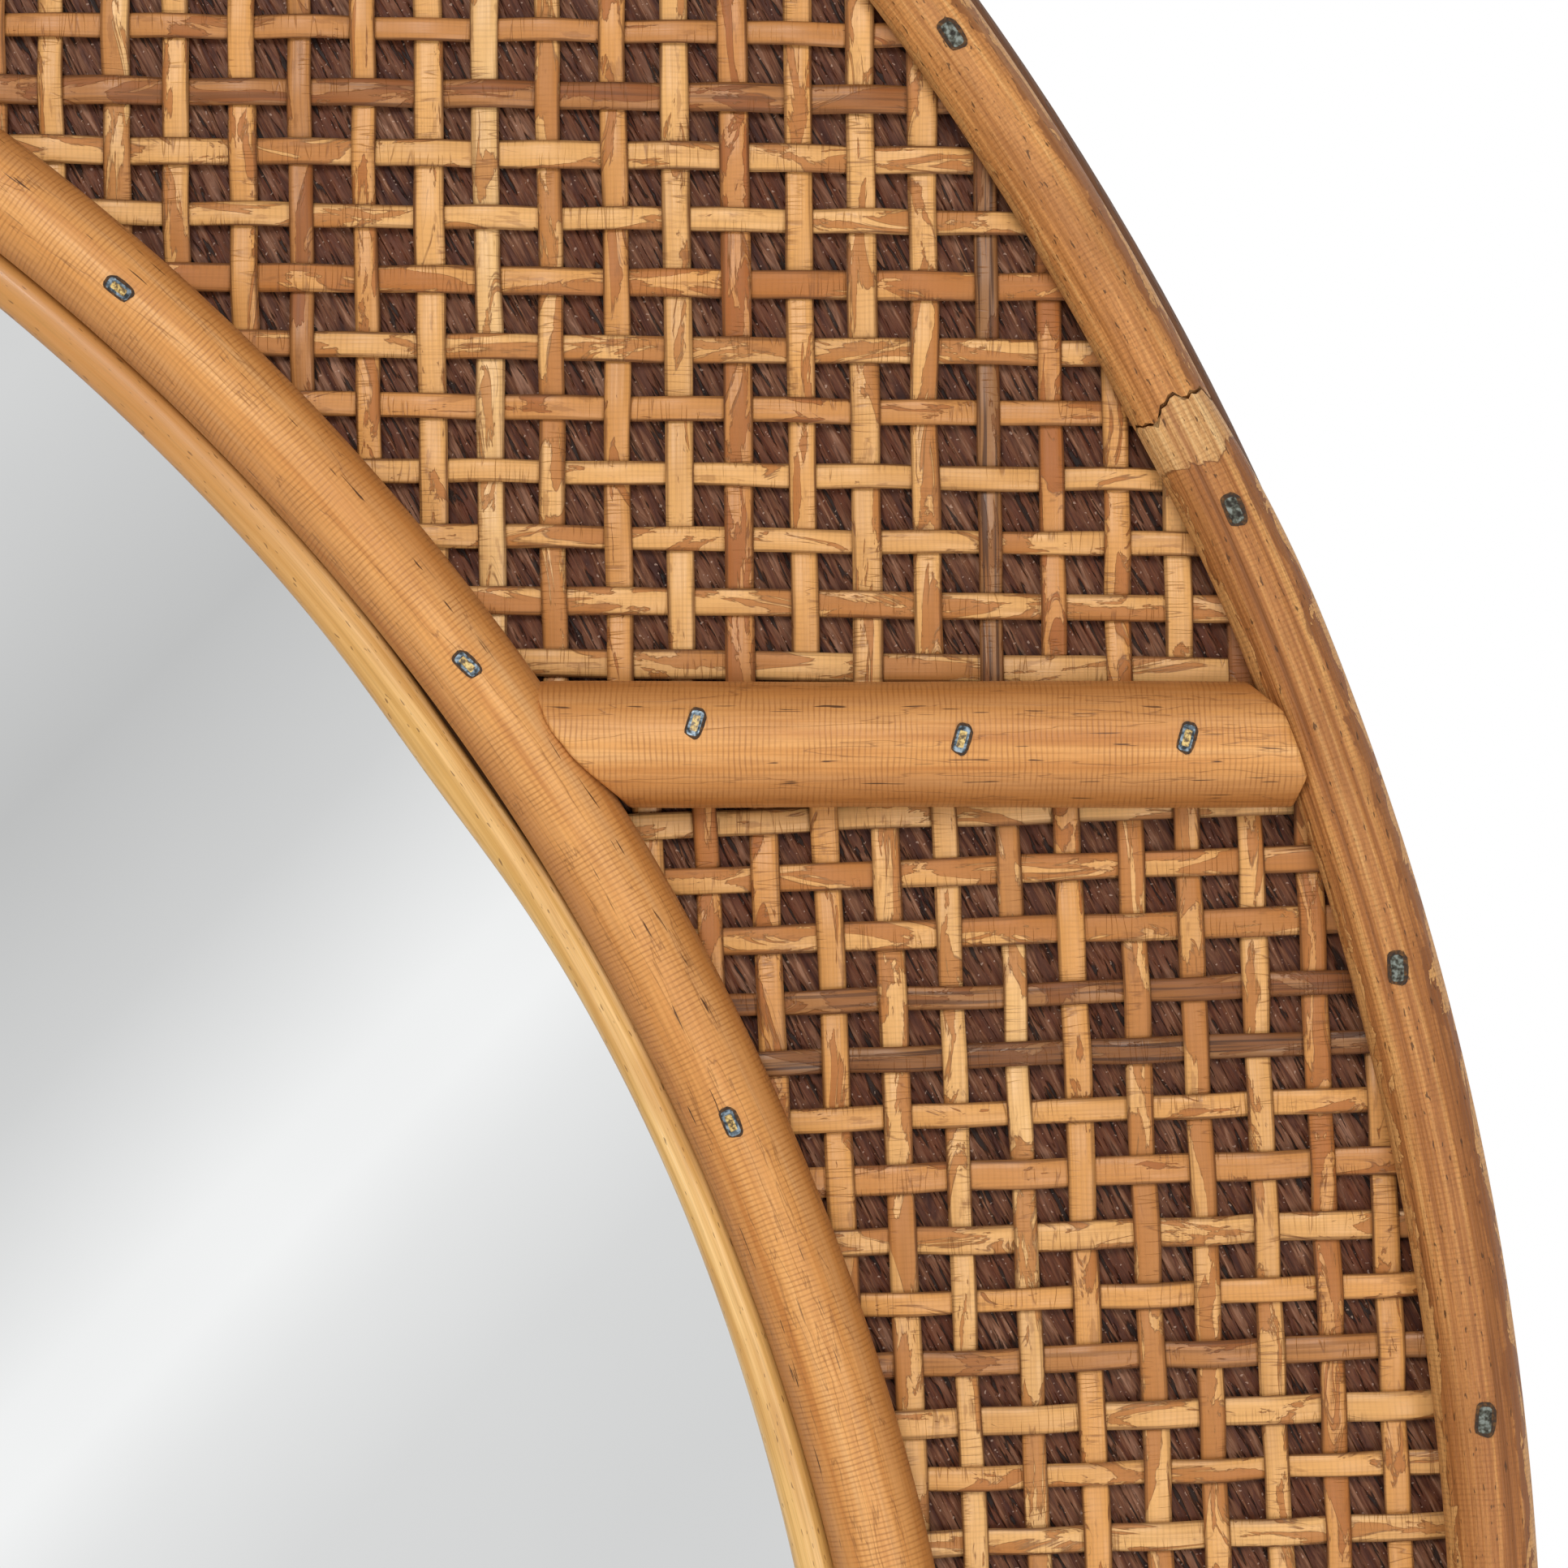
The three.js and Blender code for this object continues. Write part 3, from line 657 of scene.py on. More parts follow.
def spun_ring(name, pole, section_points, start, sweep, steps):
    """A round pole bent in a ring, its back planed flat."""
    bpy.ops.object.select_all(action="DESELECT")
    bpy.ops.mesh.primitive_circle_add(
        vertices=section_points,
        radius=pole.diameter / 2,
        location=(pole.radius, -axis_depth(pole), 0),
    )
    piece = start_piece(name)
    place_in_mesh(piece)
    section = positions(piece)
    reach = section[:, 0]
    depth = np.minimum(section[:, 1], -pole.back)
    turned = [reach * math.cos(start), depth, reach * math.sin(start) + pole.centre_z]
    move_to(piece, np.column_stack(turned))
    spin_closed(piece, pole.centre_z, sweep, steps)
    return piece


def ring_places(points, pole):
    """Turn round the ring from 0 to 1, offsets from the pole's axis outward and forward, and the
    angle round the section from its front."""
    turn = np.arctan2(points[:, 2] - pole.centre_z, points[:, 0]) / FULL_TURN % 1
    outward = np.hypot(points[:, 0], points[:, 2] - pole.centre_z) - pole.radius
    forward = -points[:, 1] - axis_depth(pole)
    return turn, outward, forward, np.arctan2(outward, forward)


def ring_points(pole, angle, reach, depth):
    return np.column_stack(
        [reach * np.cos(angle), -depth, pole.centre_z + reach * np.sin(angle)]
    )


def grain_round_ring(piece, pole):
    """Grain along the ring and round its section. Faces over the map's seam read past it."""
    turn, _, _, around = ring_places(positions(piece), pole)
    corners = np.empty(len(piece.data.loops), int)
    piece.data.loops.foreach_get("vertex_index", corners)
    starts = np.empty(len(piece.data.polygons), int)
    piece.data.polygons.foreach_get("loop_start", starts)
    counts = np.empty(len(piece.data.polygons), int)
    piece.data.polygons.foreach_get("loop_total", counts)
    first = np.repeat(corners[starts], counts)
    share = around / FULL_TURN
    along = turn[corners] - np.round(turn[corners] - turn[first])
    across = share[corners] - np.round(share[corners] - share[first])
    layer = piece.data.uv_layers.new(name="grain")
    girth = math.pi * pole.diameter
    uv = np.column_stack([along * FULL_TURN * pole.radius, across * girth])
    layer.data.foreach_set("uv", uv.ravel())


def ragged_end(around):
    """How far a split end runs past the joint, round the section."""
    return MM * (
        3.2
        + 1.1 * np.sin(2.6 * around + 0.9)
        + 0.7 * np.sin(6.3 * around + 2.0)
        + 0.45 * np.sin(14 * around)
    )


END_LENGTH = 10 * MM  # along which a split end's raggedness dies away
TAPER_LENGTH = 35 * MM  # along which a thicker pole narrows to meet a thinner one


def shape_pole(piece, pole, bend, arc, match):
    """Thickness that swells along the pole, shallow ridges along its length, ragged ends, and
    ends drawn in to match the pole that they meet."""
    turn, outward, forward, around = ring_places(positions(piece), pole)
    axis = axis_depth(pole)
    front = np.clip((forward + axis - pole.back) / (pole.diameter / 2), 0, 1)
    growth = swell(turn, bend.waver, bend.seed) * front
    draw = random.Random(bend.seed + 1)
    for _ in range(6):
        share = swell(turn, 1.0, draw.randint(0, 9999), 4)
        count = draw.randint(7, 19)
        growth += bend.ridges * front * share * np.sin(count * around + draw.random() * 6) / 3
    angle = turn * FULL_TURN
    inset = np.zeros_like(angle)
    if arc:
        start, sweep = arc
        gone = (angle - start) % FULL_TURN
        gone = np.where(gone > sweep + 0.1, gone - FULL_TURN, gone)
        from_end = np.minimum(gone, sweep - gone) * pole.radius
        angle += ragged_end(around) / pole.radius * np.clip(1 - from_end / END_LENGTH, 0, 1)
        near = np.clip(1 - from_end / TAPER_LENGTH, 0, 1) ** 2
        growth += near * (match.diameter - pole.diameter) / 2
        inset = near * (match.radius - pole.radius)
    grown = 1 + growth / (pole.diameter / 2)
    depth = np.maximum(axis + forward * grown, pole.back)
    move_to(piece, ring_points(pole, angle, pole.radius + inset + outward * grown, depth))


Bend = namedtuple("Bend", "section_points steps seed waver ridges")


def pole_ring(name, node_name, material, pole, bend, arc=None, match=None):
    """A whole ring, or an open arc with its start and its sweep, whose ends match another pole."""
    start, sweep = arc or (-math.pi / 2, FULL_TURN)
    piece = spun_ring(name, pole, bend.section_points, start, sweep, bend.steps)
    shape_pole(piece, pole, bend, arc, match)
    grain_round_ring(piece, pole)
    smooth(piece, 50)
    dress(piece, [node_name], "rattan_pole", material)
    return piece


# Where the bead stands off the pole: degrees round it, millimetres off, and degrees of spread
BEAD_STANDS_OFF = ((35, 1.1, 3.5), (118, 0.8, 5), (205, 0.9, 4), (292, 0.7, 6))
BEAD_POINTS = 28
BEAD_STEPS = 720
BEAD_FLATNESS = 0.6
BEAD_WAVES = 8  # wide and narrow stretches round the ring


def bead_ring(material):
    """The pale bead that covers the edge of the glass: nearly flat in front, now wider and now
    narrower. Here and there it stands off the pole."""
    bpy.ops.object.select_all(action="DESELECT")
    bpy.ops.mesh.primitive_circle_add(
        vertices=BEAD_POINTS, radius=BEAD_WIDTH / 2, location=(BEAD.radius, -BEAD.back, 0)
    )
    piece = start_piece("pale_bead")
    place_in_mesh(piece)
    section = positions(piece)
    rise = np.maximum(-section[:, 1] - BEAD.back, 0) / (BEAD_WIDTH / 2)
    section[:, 1] = -BEAD.back - rise**BEAD_FLATNESS * BEAD_HEIGHT
    section[:, 2] = MIRROR_Z
    move_to(piece, section)
    spin_closed(piece, MIRROR_Z, FULL_TURN, BEAD_STEPS)
    points = positions(piece)
    turn, outward, _, _ = ring_places(points, BEAD)
    inward = np.abs(swell(turn, 0.15 * MM, 71))
    for degrees, amount, spread in BEAD_STANDS_OFF:
        apart = (turn * 360 - degrees + 180) % 360 - 180
        inward += amount * MM * np.exp(-((apart / spread) ** 2))
    wider = 0.8 * MM * np.cos(BEAD_WAVES * (turn * FULL_TURN - math.pi / 4))
    wider += swell(turn, 0.2 * MM, 72, 9, 11)
    outward = np.where(outward < 0, outward * (1 + wider / (BEAD_WIDTH / 2)), outward)
    reach = BEAD.radius + outward - inward
    move_to(piece, ring_points(BEAD, turn * FULL_TURN, reach, -points[:, 1]))
    grain_round_ring(piece, BEAD)
    smooth(piece, 50)
    dress(piece, ["glass_bead"], "pale_rattan", material)


# Board and glass

def round_plate(name, radius, back, front, centre_z, sides):
    bpy.ops.object.select_all(action="DESELECT")
    bpy.ops.mesh.primitive_cylinder_add(
        vertices=sides,
        radius=radius,
        depth=front - back,
        location=(0, -(front + back) / 2, centre_z),
        rotation=(math.pi / 2, 0, 0),
    )
    piece = start_piece(name)
    place_in_mesh(piece)
    return piece


def bevel_rim(piece, depth, width, segments):
    """Rounds the edge between the rim and the flat face at one depth from the wall."""
    def at_depth(edge):
        ends = (piece.data.vertices[i].co for i in edge.vertices)
        return all(abs(end.y + depth) < 0.01 * MM for end in ends)

    edit_picked(piece, "EDGE", at_depth)
    bpy.ops.mesh.bevel(offset=width, segments=segments, affect="EDGES")
    bpy.ops.object.mode_set(mode="OBJECT")


MANY_CORNERS = 100  # of a big face, which the rim's small ones don't have


def hold_faces_flat(piece):
    """A narrow inset round each big face, so that the rim's rounding doesn't bend its shading."""
    edit_picked(piece, "FACE", lambda face: len(face.vertices) > MANY_CORNERS)
    bpy.ops.mesh.inset(thickness=0.3 * MM, use_individual=True)
    bpy.ops.object.mode_set(mode="OBJECT")


def cut_away(piece, cutter):
    only(piece)
    cut = piece.modifiers.new("cut", "BOOLEAN")
    cut.operation = "DIFFERENCE"
    cut.object = cutter
    cut.solver = "EXACT"
    bpy.ops.object.modifier_apply(modifier=cut.name)
    bpy.data.objects.remove(cutter)


HANGER_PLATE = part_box("right_hanger_plate")
HANGER_X = (HANGER_PLATE[0].x + HANGER_PLATE[1].x) / 2
HANGER_Z = (HANGER_PLATE[0].z + HANGER_PLATE[1].z) / 2
HANGER_WIDTH = HANGER_PLATE[1].x - HANGER_PLATE[0].x
HANGER_LENGTH = HANGER_PLATE[1].z - HANGER_PLATE[0].z
HANGER_THICKNESS = HANGER_PLATE[1].y - HANGER_PLATE[0].y
HANGER_CLEARANCE = 0.3 * MM
SCREW_POCKET = (14 * MM, 32 * MM, 6 * MM)  # width, length and depth


def slot_block(name, x, z, width, length, back, front):
    """A block with half-round ends, standing on its end: a cylinder parted and drawn out."""
    bpy.ops.object.select_all(action="DESELECT")
    bpy.ops.mesh.primitive_cylinder_add(
        vertices=48,
        radius=width / 2,
        depth=front - back,
        location=(x, -(front + back) / 2, z),
        rotation=(math.pi / 2, 0, 0),
    )
    piece = start_piece(name)
    place_in_mesh(piece)
    points = positions(piece)
    points[:, 2] += np.sign(points[:, 2] - z - 1e-7) * (length - width) / 2
    move_to(piece, points)
    return piece


def backboard(front_material, back_material):
    piece = round_plate("plywood_board", BOARD_RADIUS, 0.0, BOARD_FRONT, 0.0, 360)
    bevel_rim(piece, BOARD_FRONT, BOARD_FRONT_ROUND, 5)
    bevel_rim(piece, 0.0, BOARD_BACK_CHAMFER, 2)
    hold_faces_flat(piece)
    for side in (-1, 1):
        width = HANGER_WIDTH + 2 * HANGER_CLEARANCE
        length = HANGER_LENGTH + 2 * HANGER_CLEARANCE
        recess = HANGER_THICKNESS + HANGER_CLEARANCE
        x = side * HANGER_X
        cut_away(piece, slot_block("recess", x, HANGER_Z, width, length, -1 * MM, recess))
        width, length, depth = SCREW_POCKET
        cut_away(piece, slot_block("pocket", x, HANGER_Z, width, length, -1 * MM, depth))
    smooth(piece, 30)
    dress(piece, ["backboard"], "stained_plywood", front_material, back_material)
    for face in piece.data.polygons:
        face.material_index = 1 if face.normal.y > 0.9 else 0


def mirror_glass(material):
    piece = round_plate("mirror_plate", GLASS_RADIUS, GLASS_BACK, GLASS_FRONT, MIRROR_Z, 300)
    bevel_rim(piece, GLASS_FRONT, 0.6 * MM, 2)
    hold_faces_flat(piece)
    smooth(piece, 30)
    dress(piece, ["mirror_glass"], "silvered_glass", material)


# Struts

END_ROWS = (0.0, 0.0026, 0.007)  # the last rows at an end, as shares of a strut's length
END_WEAR = (0.55 * MM, 0.16 * MM, 0.0)  # how far each is rounded back
STRUT_WAVER = 0.012  # of its thickness, along its length
COPE_SHARE = 0.62  # how far an end follows the round of the ring's pole
INNER_LEAN = 0.2  # how far the inner end leans over the ring towards the strut's top


def strut(side, material, outer_pole):
    """A half-round pole laid level across the weave, each end cut to ride up on the round of the
    ring that it meets."""
    bpy.ops.object.select_all(action="DESELECT")
    lengthwise, around = 60, 56
    bpy.ops.mesh.primitive_cylinder_add(
        vertices=around, radius=STRUT_DIAMETER / 2, depth=1.0, rotation=(0, math.pi / 2, 0)
    )
    name = "right_half_round" if side > 0 else "left_half_round"
    piece = start_piece(name)
    place_in_mesh(piece)

    def lengthways(edge):
        a, b = (piece.data.vertices[i].co for i in edge.vertices)
        return abs(a.x - b.x) > 0.5

    edit_picked(piece, "EDGE", lengthways)
    bpy.ops.mesh.subdivide_edgering(number_cuts=lengthwise, interpolation="LINEAR")
    bpy.ops.object.mode_set(mode="OBJECT")
    points = positions(piece)
    row = np.round((points[:, 0] + 0.5) * (lengthwise + 1)).astype(int)
    if side < 0:
        row = lengthwise + 1 - row
    spacing = np.concatenate(
        [END_ROWS, np.linspace(0.02, 0.98, lengthwise - 4), 1 - np.array(END_ROWS[::-1])]
    )
    share = spacing[row]
    wear_and_shade = np.interp(np.minimum(row, lengthwise + 1 - row), (0, 1, 2), END_WEAR)
    middle = OUTER_POLE_BACK + STRUT_HEIGHT - STRUT_DIAMETER / 2
    depth = np.maximum(middle - points[:, 1], OUTER_POLE_BACK)
    lean = INNER_LEAN * np.maximum(points[:, 2], 0) * (depth > axis_depth(INNER_POLE))
    near = cope(depth, INNER_POLE, 1) - lean
    far = cope(depth, outer_pole, -1)
    raised = np.clip((depth - OUTER_POLE_BACK) / (4 * MM), 0, 1)
    waver = 1 + STRUT_WAVER * np.sin(9 * share + side) * raised - wear_and_shade / (STRUT_DIAMETER / 2)
    depth = depth - wear_and_shade * raised
    level = STRUT_LEVEL + points[:, 2] * waver
    inner_x = np.sqrt(near**2 - (level - MIRROR_Z) ** 2)
    outer_x = np.sqrt(far**2 - level**2)
    x = inner_x + (outer_x - inner_x) * share
    move_to(piece, np.column_stack([side * x, -depth, level]))
    face_outward(piece)
    points = positions(piece)
    around_angle = np.arctan2(points[:, 2] - STRUT_LEVEL, -points[:, 1] - middle)
    write_grain(piece, points[:, 0] + 3.0, around_angle * STRUT_DIAMETER / 2)
    smooth(piece, 40)
    node_name = "right_strut" if side > 0 else "left_strut"
    dress(piece, [node_name], "rattan_pole", material)
    return piece


def cope(depth, pole, way):
    """How far from a ring's centre the strut stops at each depth, to clear the round of the
    ring's pole on its outer side (way 1) or its inner side (way -1)."""
    above = np.clip((depth - axis_depth(pole)) / (pole.diameter / 2), 0, 1)
    reach = pole.diameter / 2 * np.sqrt(1 - COPE_SHARE * above**2)
    return pole.radius + way * (reach + STRUT_END_GAP)


# Weave

def circle_span(point, along, centre_z, radius):
    """Distances along a line to where it enters and leaves a circle, or None where it misses."""
    offset = np.array([point[0], point[1] - centre_z])
    middle = -offset @ along
    half = radius**2 - (offset @ offset - middle**2)
    if half <= 0:
        return None
    return middle - math.sqrt(half), middle + math.sqrt(half)


def panel_spans(point, along, panel):
    """The stretches of a strip's line that lie in a panel."""
    outer = circle_span(point, along, 0.0, STRIP_OUTER_END)
    if outer is None:
        return []
    inner = circle_span(point, along, MIRROR_Z, STRIP_INNER_END)
    spans = [outer] if inner is None else [(outer[0], inner[0]), (inner[1], outer[1])]
    if panel == "top":
        limits = [((0, 1), SEAM_TOP)]
    else:
        side = 1 if panel == "right" else -1
        limits = [((0, -1), -SEAM_BOTTOM), ((side, 0), MIDDLE_SEAM)]
    kept = []
    for low, high in spans:
        for normal, limit in limits:
            slope = along @ np.array(normal, float)
            room = limit - point @ np.array(normal, float)
            if abs(slope) < 1e-9:
                high = high if room <= 0 else low
            elif slope > 0:
                low = max(low, room / slope)
            else:
                high = min(high, room / slope)
        if high - low > STRIP_WIDTH:
            kept.append((low, high))
    return kept


def strip_lines(layer, upright, draw):
    """Every strip's number, a point on it, and the direction of the set."""
    lean = math.radians(layer["lean"])
    level = np.array([math.cos(lean), math.sin(lean)])
    plumb = np.array([-level[1], level[0]])
    along, across = (plumb, level) if upright else (level, plumb)
    anchor = np.array([layer["x"], layer["z"]]) * MM
    pitch = layer["pitch"] * MM
    reach = math.ceil(2 * BOARD_RADIUS / pitch)
    lines = []
    for number in range(-reach, reach + 1):
        stray = draw.uniform(-0.45, 0.45) * MM
        lines.append((number, anchor + across * (number * pitch + stray)))
    return lines, along, across


STRIP_SECTION = (  # across and thickness, as shares of half of each
    (-0.97, 0.1),
    (-0.8, 0.78),
    (-0.35, 0.98),
    (0.35, 0.98),
    (0.8, 0.78),
    (0.97, 0.1),
    (0.8, -1.0),
    (-0.8, -1.0),
)


def strip_mesh(path, along, across, height, width, twist):
    """Corner points of one strip: its section at each point of its path, tilted to the slope."""
    rise = np.gradient(height, np.linalg.norm(path - path[0], axis=1))
    section = np.array(STRIP_SECTION)
    lateral = section[None, :, 0] * width[:, None] / 2
    up = section[None, :, 1] * STRIP_THICKNESS / 2 + np.sin(twist)[:, None] * lateral
    tilted = (up * rise[:, None])[:, :, None] * along
    plane = path[:, None, :] + lateral[:, :, None] * across - tilted
    depth = WEAVE_MIDDLE + height[:, None] + up
    return np.stack([plane[:, :, 0], -depth, plane[:, :, 1]], axis=2)


def wander(distance, amount, draw):
    """A slow seeded waver along a strip."""
    wave = np.zeros_like(distance)
    for length in (0.031, 0.057, 0.113):
        wave += draw.uniform(-1, 1) * np.sin(2 * math.pi * (distance / length + draw.random()))
    return amount * wave


def strip_tone(draw):
    """Tone and peel of one strip: mostly straw and tan, a few tan-brown, and a few weathered dark
    brown.
    """
    kind = draw.random()
    if kind < 0.04:
        return draw.uniform(0.0, 0.14), draw.uniform(0.1, 0.5)
    if kind < 0.16:
        return draw.uniform(0.2, 0.4), draw.uniform(0.2, 0.7)
    return draw.uniform(0.5, 1.0), draw.uniform(0.05, 0.95)


def weave_panel(panel, material):
    """Both sets of strips of one panel, each set as one piece, passing over and under in turn."""
    draw = random.Random(f"{panel} weave")
    sets = {
        name: strip_lines(WEAVES[panel][name], name == "upright", draw)
        for name in ("upright", "cross")
    }
    for name, other in (("upright", "cross"), ("cross", "upright")):
        lines, along, across = sets[name]
        other_lines, other_along, _ = sets[other]
        over_first = WEAVES[panel]["first_over"] * (1 if name == "upright" else -1)
        noted = NOTED_TONES.get((panel, name), {})
        points, faces, grain, tones, edges = [], [], [], [], []
        numbers = np.array([number for number, _ in other_lines], float)
        starts = np.array([point for _, point in other_lines])
        turn = along[0] * other_along[1] - along[1] * other_along[0]
        for number, point in lines:
            gap = starts - point
            crossing = (gap[:, 0] * other_along[1] - gap[:, 1] * other_along[0]) / turn
            order = np.argsort(crossing)
            tone, peel = strip_tone(draw)
            tone = noted.get(number, tone)
            shift = draw.uniform(0, 20)
            share = draw.uniform(0.88, 1.12)
            for low, high in panel_spans(point, along, panel):
                steps = max(2, math.ceil((high - low) / STRIP_STEP))
                distance = np.linspace(low, high, steps + 1)
                count = np.interp(distance, crossing[order], numbers[order])
                height = over_first * STRIP_RISE * np.cos(math.pi * (count + number))
                width = STRIP_WIDTH * (share + wander(distance, 0.035, draw))
                path = point + distance[:, None] * along
                path = path + wander(distance, 0.12 * MM, draw)[:, None] * across
                twist = wander(distance, 0.05, draw)
                corners = strip_mesh(path, along, across, height, width, twist)
                add_strip(points, faces, corners)
                lateral = np.array(STRIP_SECTION)[None, :, 0] * width[:, None] / 2
                grain.append(
                    np.stack([np.broadcast_to(distance[:, None], lateral.shape), lateral], 2)
                )
                tones.append(np.tile((tone, shift, peel, 1.0), (lateral.size, 1)))
                edges.append(np.tile(np.abs(np.array(STRIP_SECTION)[:, 0]), len(distance)))
        piece = strip_piece(f"{panel}_{name}_rattan", points, faces, grain, tones, edges)
        dress(piece, [f"{panel}_{name}_strips"], "rattan_strip", material)


def add_strip(points, faces, corners):
    base = sum(len(block) for block in points)
    rows, sides = corners.shape[:2]
    points.append(corners.reshape(-1, 3))
    for row in range(rows - 1):
        for side in range(sides):
            a = base + row * sides + side
            b = base + row * sides + (side + 1) % sides
            faces.append((a, b, b + sides, a + sides))
    faces.append(tuple(base + side for side in reversed(range(sides))))
    faces.append(tuple(base + (rows - 1) * sides + side for side in range(sides)))


def strip_piece(name, points, faces, grain, tones, edges):
    mesh = bpy.data.meshes.new(name)
    mesh.from_pydata(np.concatenate(points).tolist(), [], faces)
    piece = bpy.data.objects.new(name, mesh)
    bpy.context.scene.collection.objects.link(piece)
    face_outward(piece)
    places = np.concatenate([block.reshape(-1, 2) for block in grain])
    write_grain(piece, places[:, 0], places[:, 1])
    tone = mesh.attributes.new("strip", "FLOAT_COLOR", "POINT")
    tone.data.foreach_set("color", np.concatenate(tones).ravel())
    edge = mesh.attributes.new("edge", "FLOAT", "POINT")
    edge.data.foreach_set("value", np.concatenate(edges))
    smooth(piece, 60)
    return piece


# Staples

STAPLE = (4.0 * MM, 1.9 * MM, 0.8 * MM)  # length, width and thickness of a crown
STAPLE_PROUD = 0.12 * MM
CROWN_ROUND = 0.55 * MM
GLUE_MARGIN = 0.4 * MM
HOLE_LIP = 0.06 * MM
HOLE_MARGIN = 0.35 * MM
INNER_STAPLES_SEEN = (48.6, 36.6, 24.2)  # degrees round the inner ring
INNER_STAPLES = 30
OUTER_STAPLES_SEEN = (35.1, 24.5, 15.2, 6.4)  # degrees round the outer ring
OUTER_STAPLES = 38
STRUT_STAPLES = ((328.6, 154.6), (368.5, 152.2), (402.2, 152.4))  # x and z in millimetres


def staple_crown(materials, margin):
    """One staple's crown, seen from outside: a steel bar with glue on its middle, in a hole of
    crushed fibre, dark with painted shade. It lies along X and faces up Z, its foot at the origin."""
    draw = random.Random("staple")
    length, width, thickness = STAPLE
    # painted shade: the hole is a dark disc, just proud of the pole, that stands for the shaded dent
    # round the staple
    bpy.ops.object.select_all(action="DESELECT")
    bpy.ops.mesh.primitive_cylinder_add(vertices=18, radius=1.0, depth=1.0)
    hole = start_piece("staple_hole")
    points = positions(hole)
    ragged = np.repeat([draw.uniform(0.9, 1.15) for _ in range(9)], 4)[: len(points)]
    squared = np.abs(points[:, :2]) ** 0.6 * np.sign(points[:, :2])
    points[:, 0] = squared[:, 0] * (length / 2 + margin) * ragged
    points[:, 1] = squared[:, 1] * (width / 2 + margin) * ragged
    points[:, 2] = np.where(points[:, 2] > 0, HOLE_LIP, -thickness)
    move_to(hole, points)

    bpy.ops.object.select_all(action="DESELECT")
    bpy.ops.mesh.primitive_cube_add(size=1.0, location=(0, 0, STAPLE_PROUD - thickness / 2))
    crown = start_piece("staple_crown")
    crown.scale = STAPLE
    place_in_mesh(crown)
    for piece in (hole, crown):
        for material in materials:
            piece.data.materials.append(material)

    def upright(edge):
        a, b = (crown.data.vertices[i].co for i in edge.vertices)
        return abs(a.z - b.z) > thickness / 2

    edit_picked(crown, "EDGE", upright)
    bpy.ops.mesh.bevel(offset=CROWN_ROUND, segments=3, affect="EDGES")
    bpy.ops.object.mode_set(mode="OBJECT")
    edit_picked(crown, "FACE", lambda face: face.normal.z > 0.9)
    bpy.ops.mesh.inset(thickness=GLUE_MARGIN)
    bpy.ops.transform.resize(value=(0.8, 1.0, 1.0))
    bpy.ops.object.mode_set(mode="OBJECT")
    for face in crown.data.polygons:
        face.material_index = 2 if face.select else 1
    hole.select_set(True)
    bpy.ops.object.join()
    return crown


def staples(name, places, materials, margin=HOLE_MARGIN):
    """Copies of the staple, each set in the face of its pole, joined as one piece. A place is
    the pole, x and z, and the angle in the wall's plane that the staple lies along."""
    model = staple_crown(materials, margin)
    bpy.context.view_layer.update()
    copies = []
    for host, x, z, lie in places:
        _, foot, up, _ = host.ray_cast((x, -1, z), (0, 1, 0))
        copy = model.copy()
        copy.data = model.data.copy()
        bpy.context.scene.collection.objects.link(copy)
        up = np.array(up)
        along = np.array([math.cos(lie), 0, math.sin(lie)])
        along -= up * (along @ up)
        along /= np.linalg.norm(along)
        axes = np.array([along, np.cross(up, along), up])
        move_to(copy, np.array(foot) + positions(copy) @ axes)
        copies.append(copy)
    bpy.data.objects.remove(model)
    bpy.ops.object.select_all(action="DESELECT")
    for copy in copies:
        copy.select_set(True)
    bpy.context.view_layer.objects.active = copies[0]
    bpy.ops.object.join()
    piece = start_piece(name)
    face_outward(piece)
    smooth(piece, 35)
    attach(piece, "root")


def ring_staple(host, pole, degrees, draw):
    angle = math.radians(degrees)
    r = pole.radius + draw.uniform(-0.8, 0.8) * MM
    lie = angle + math.pi / 2 + draw.uniform(-0.2, 0.2)
    return host, r * math.cos(angle), pole.centre_z + r * math.sin(angle), lie


def spaced_round(seen, count):
    """Angles of a ring's staples: those in the photograph, and the rest evenly between."""
    rest = count - len(seen)
    pitch = (360 - seen[0] + seen[-1]) / (rest + 1)
    return list(seen) + [seen[0] + pitch * (i + 1) for i in range(rest)]


def all_staples(bright, dull, inner, upper, lower, struts):
    draw = random.Random("staples")
    angles = spaced_round(INNER_STAPLES_SEEN, INNER_STAPLES)
    places = [ring_staple(inner, INNER_POLE, degrees, draw) for degrees in angles]
    staples("inner_ring_staples", places, bright)

    places = []
    for degrees in spaced_round(OUTER_STAPLES_SEEN, OUTER_STAPLES):
        on_upper = 0 < degrees - math.degrees(JOINT_ANGLE) < 180
        host, pole = (upper, UPPER_POLE) if on_upper else (lower, LOWER_POLE)
        places.append(ring_staple(host, pole, degrees, draw))
    staples("outer_ring_staples", places, dull, 1.6 * HOLE_MARGIN)

    places = []
    for host, side in zip(struts, (1, -1)):
        for x, z in STRUT_STAPLES:
            places.append((host, side * x * MM, z * MM, side * math.radians(75)))
    staples("strut_staples", places, bright)


# Stage

def floor():
    bpy.ops.object.select_all(action="DESELECT")
    bpy.ops.mesh.primitive_plane_add(size=5, location=(0, -2.2, -1.1))
    piece = start_piece("studio_floor")
    material, add = new_material("studio_floor")
    cover(add, linear("#E9E7E3"), 0.9)
    piece.data.materials.append(material)


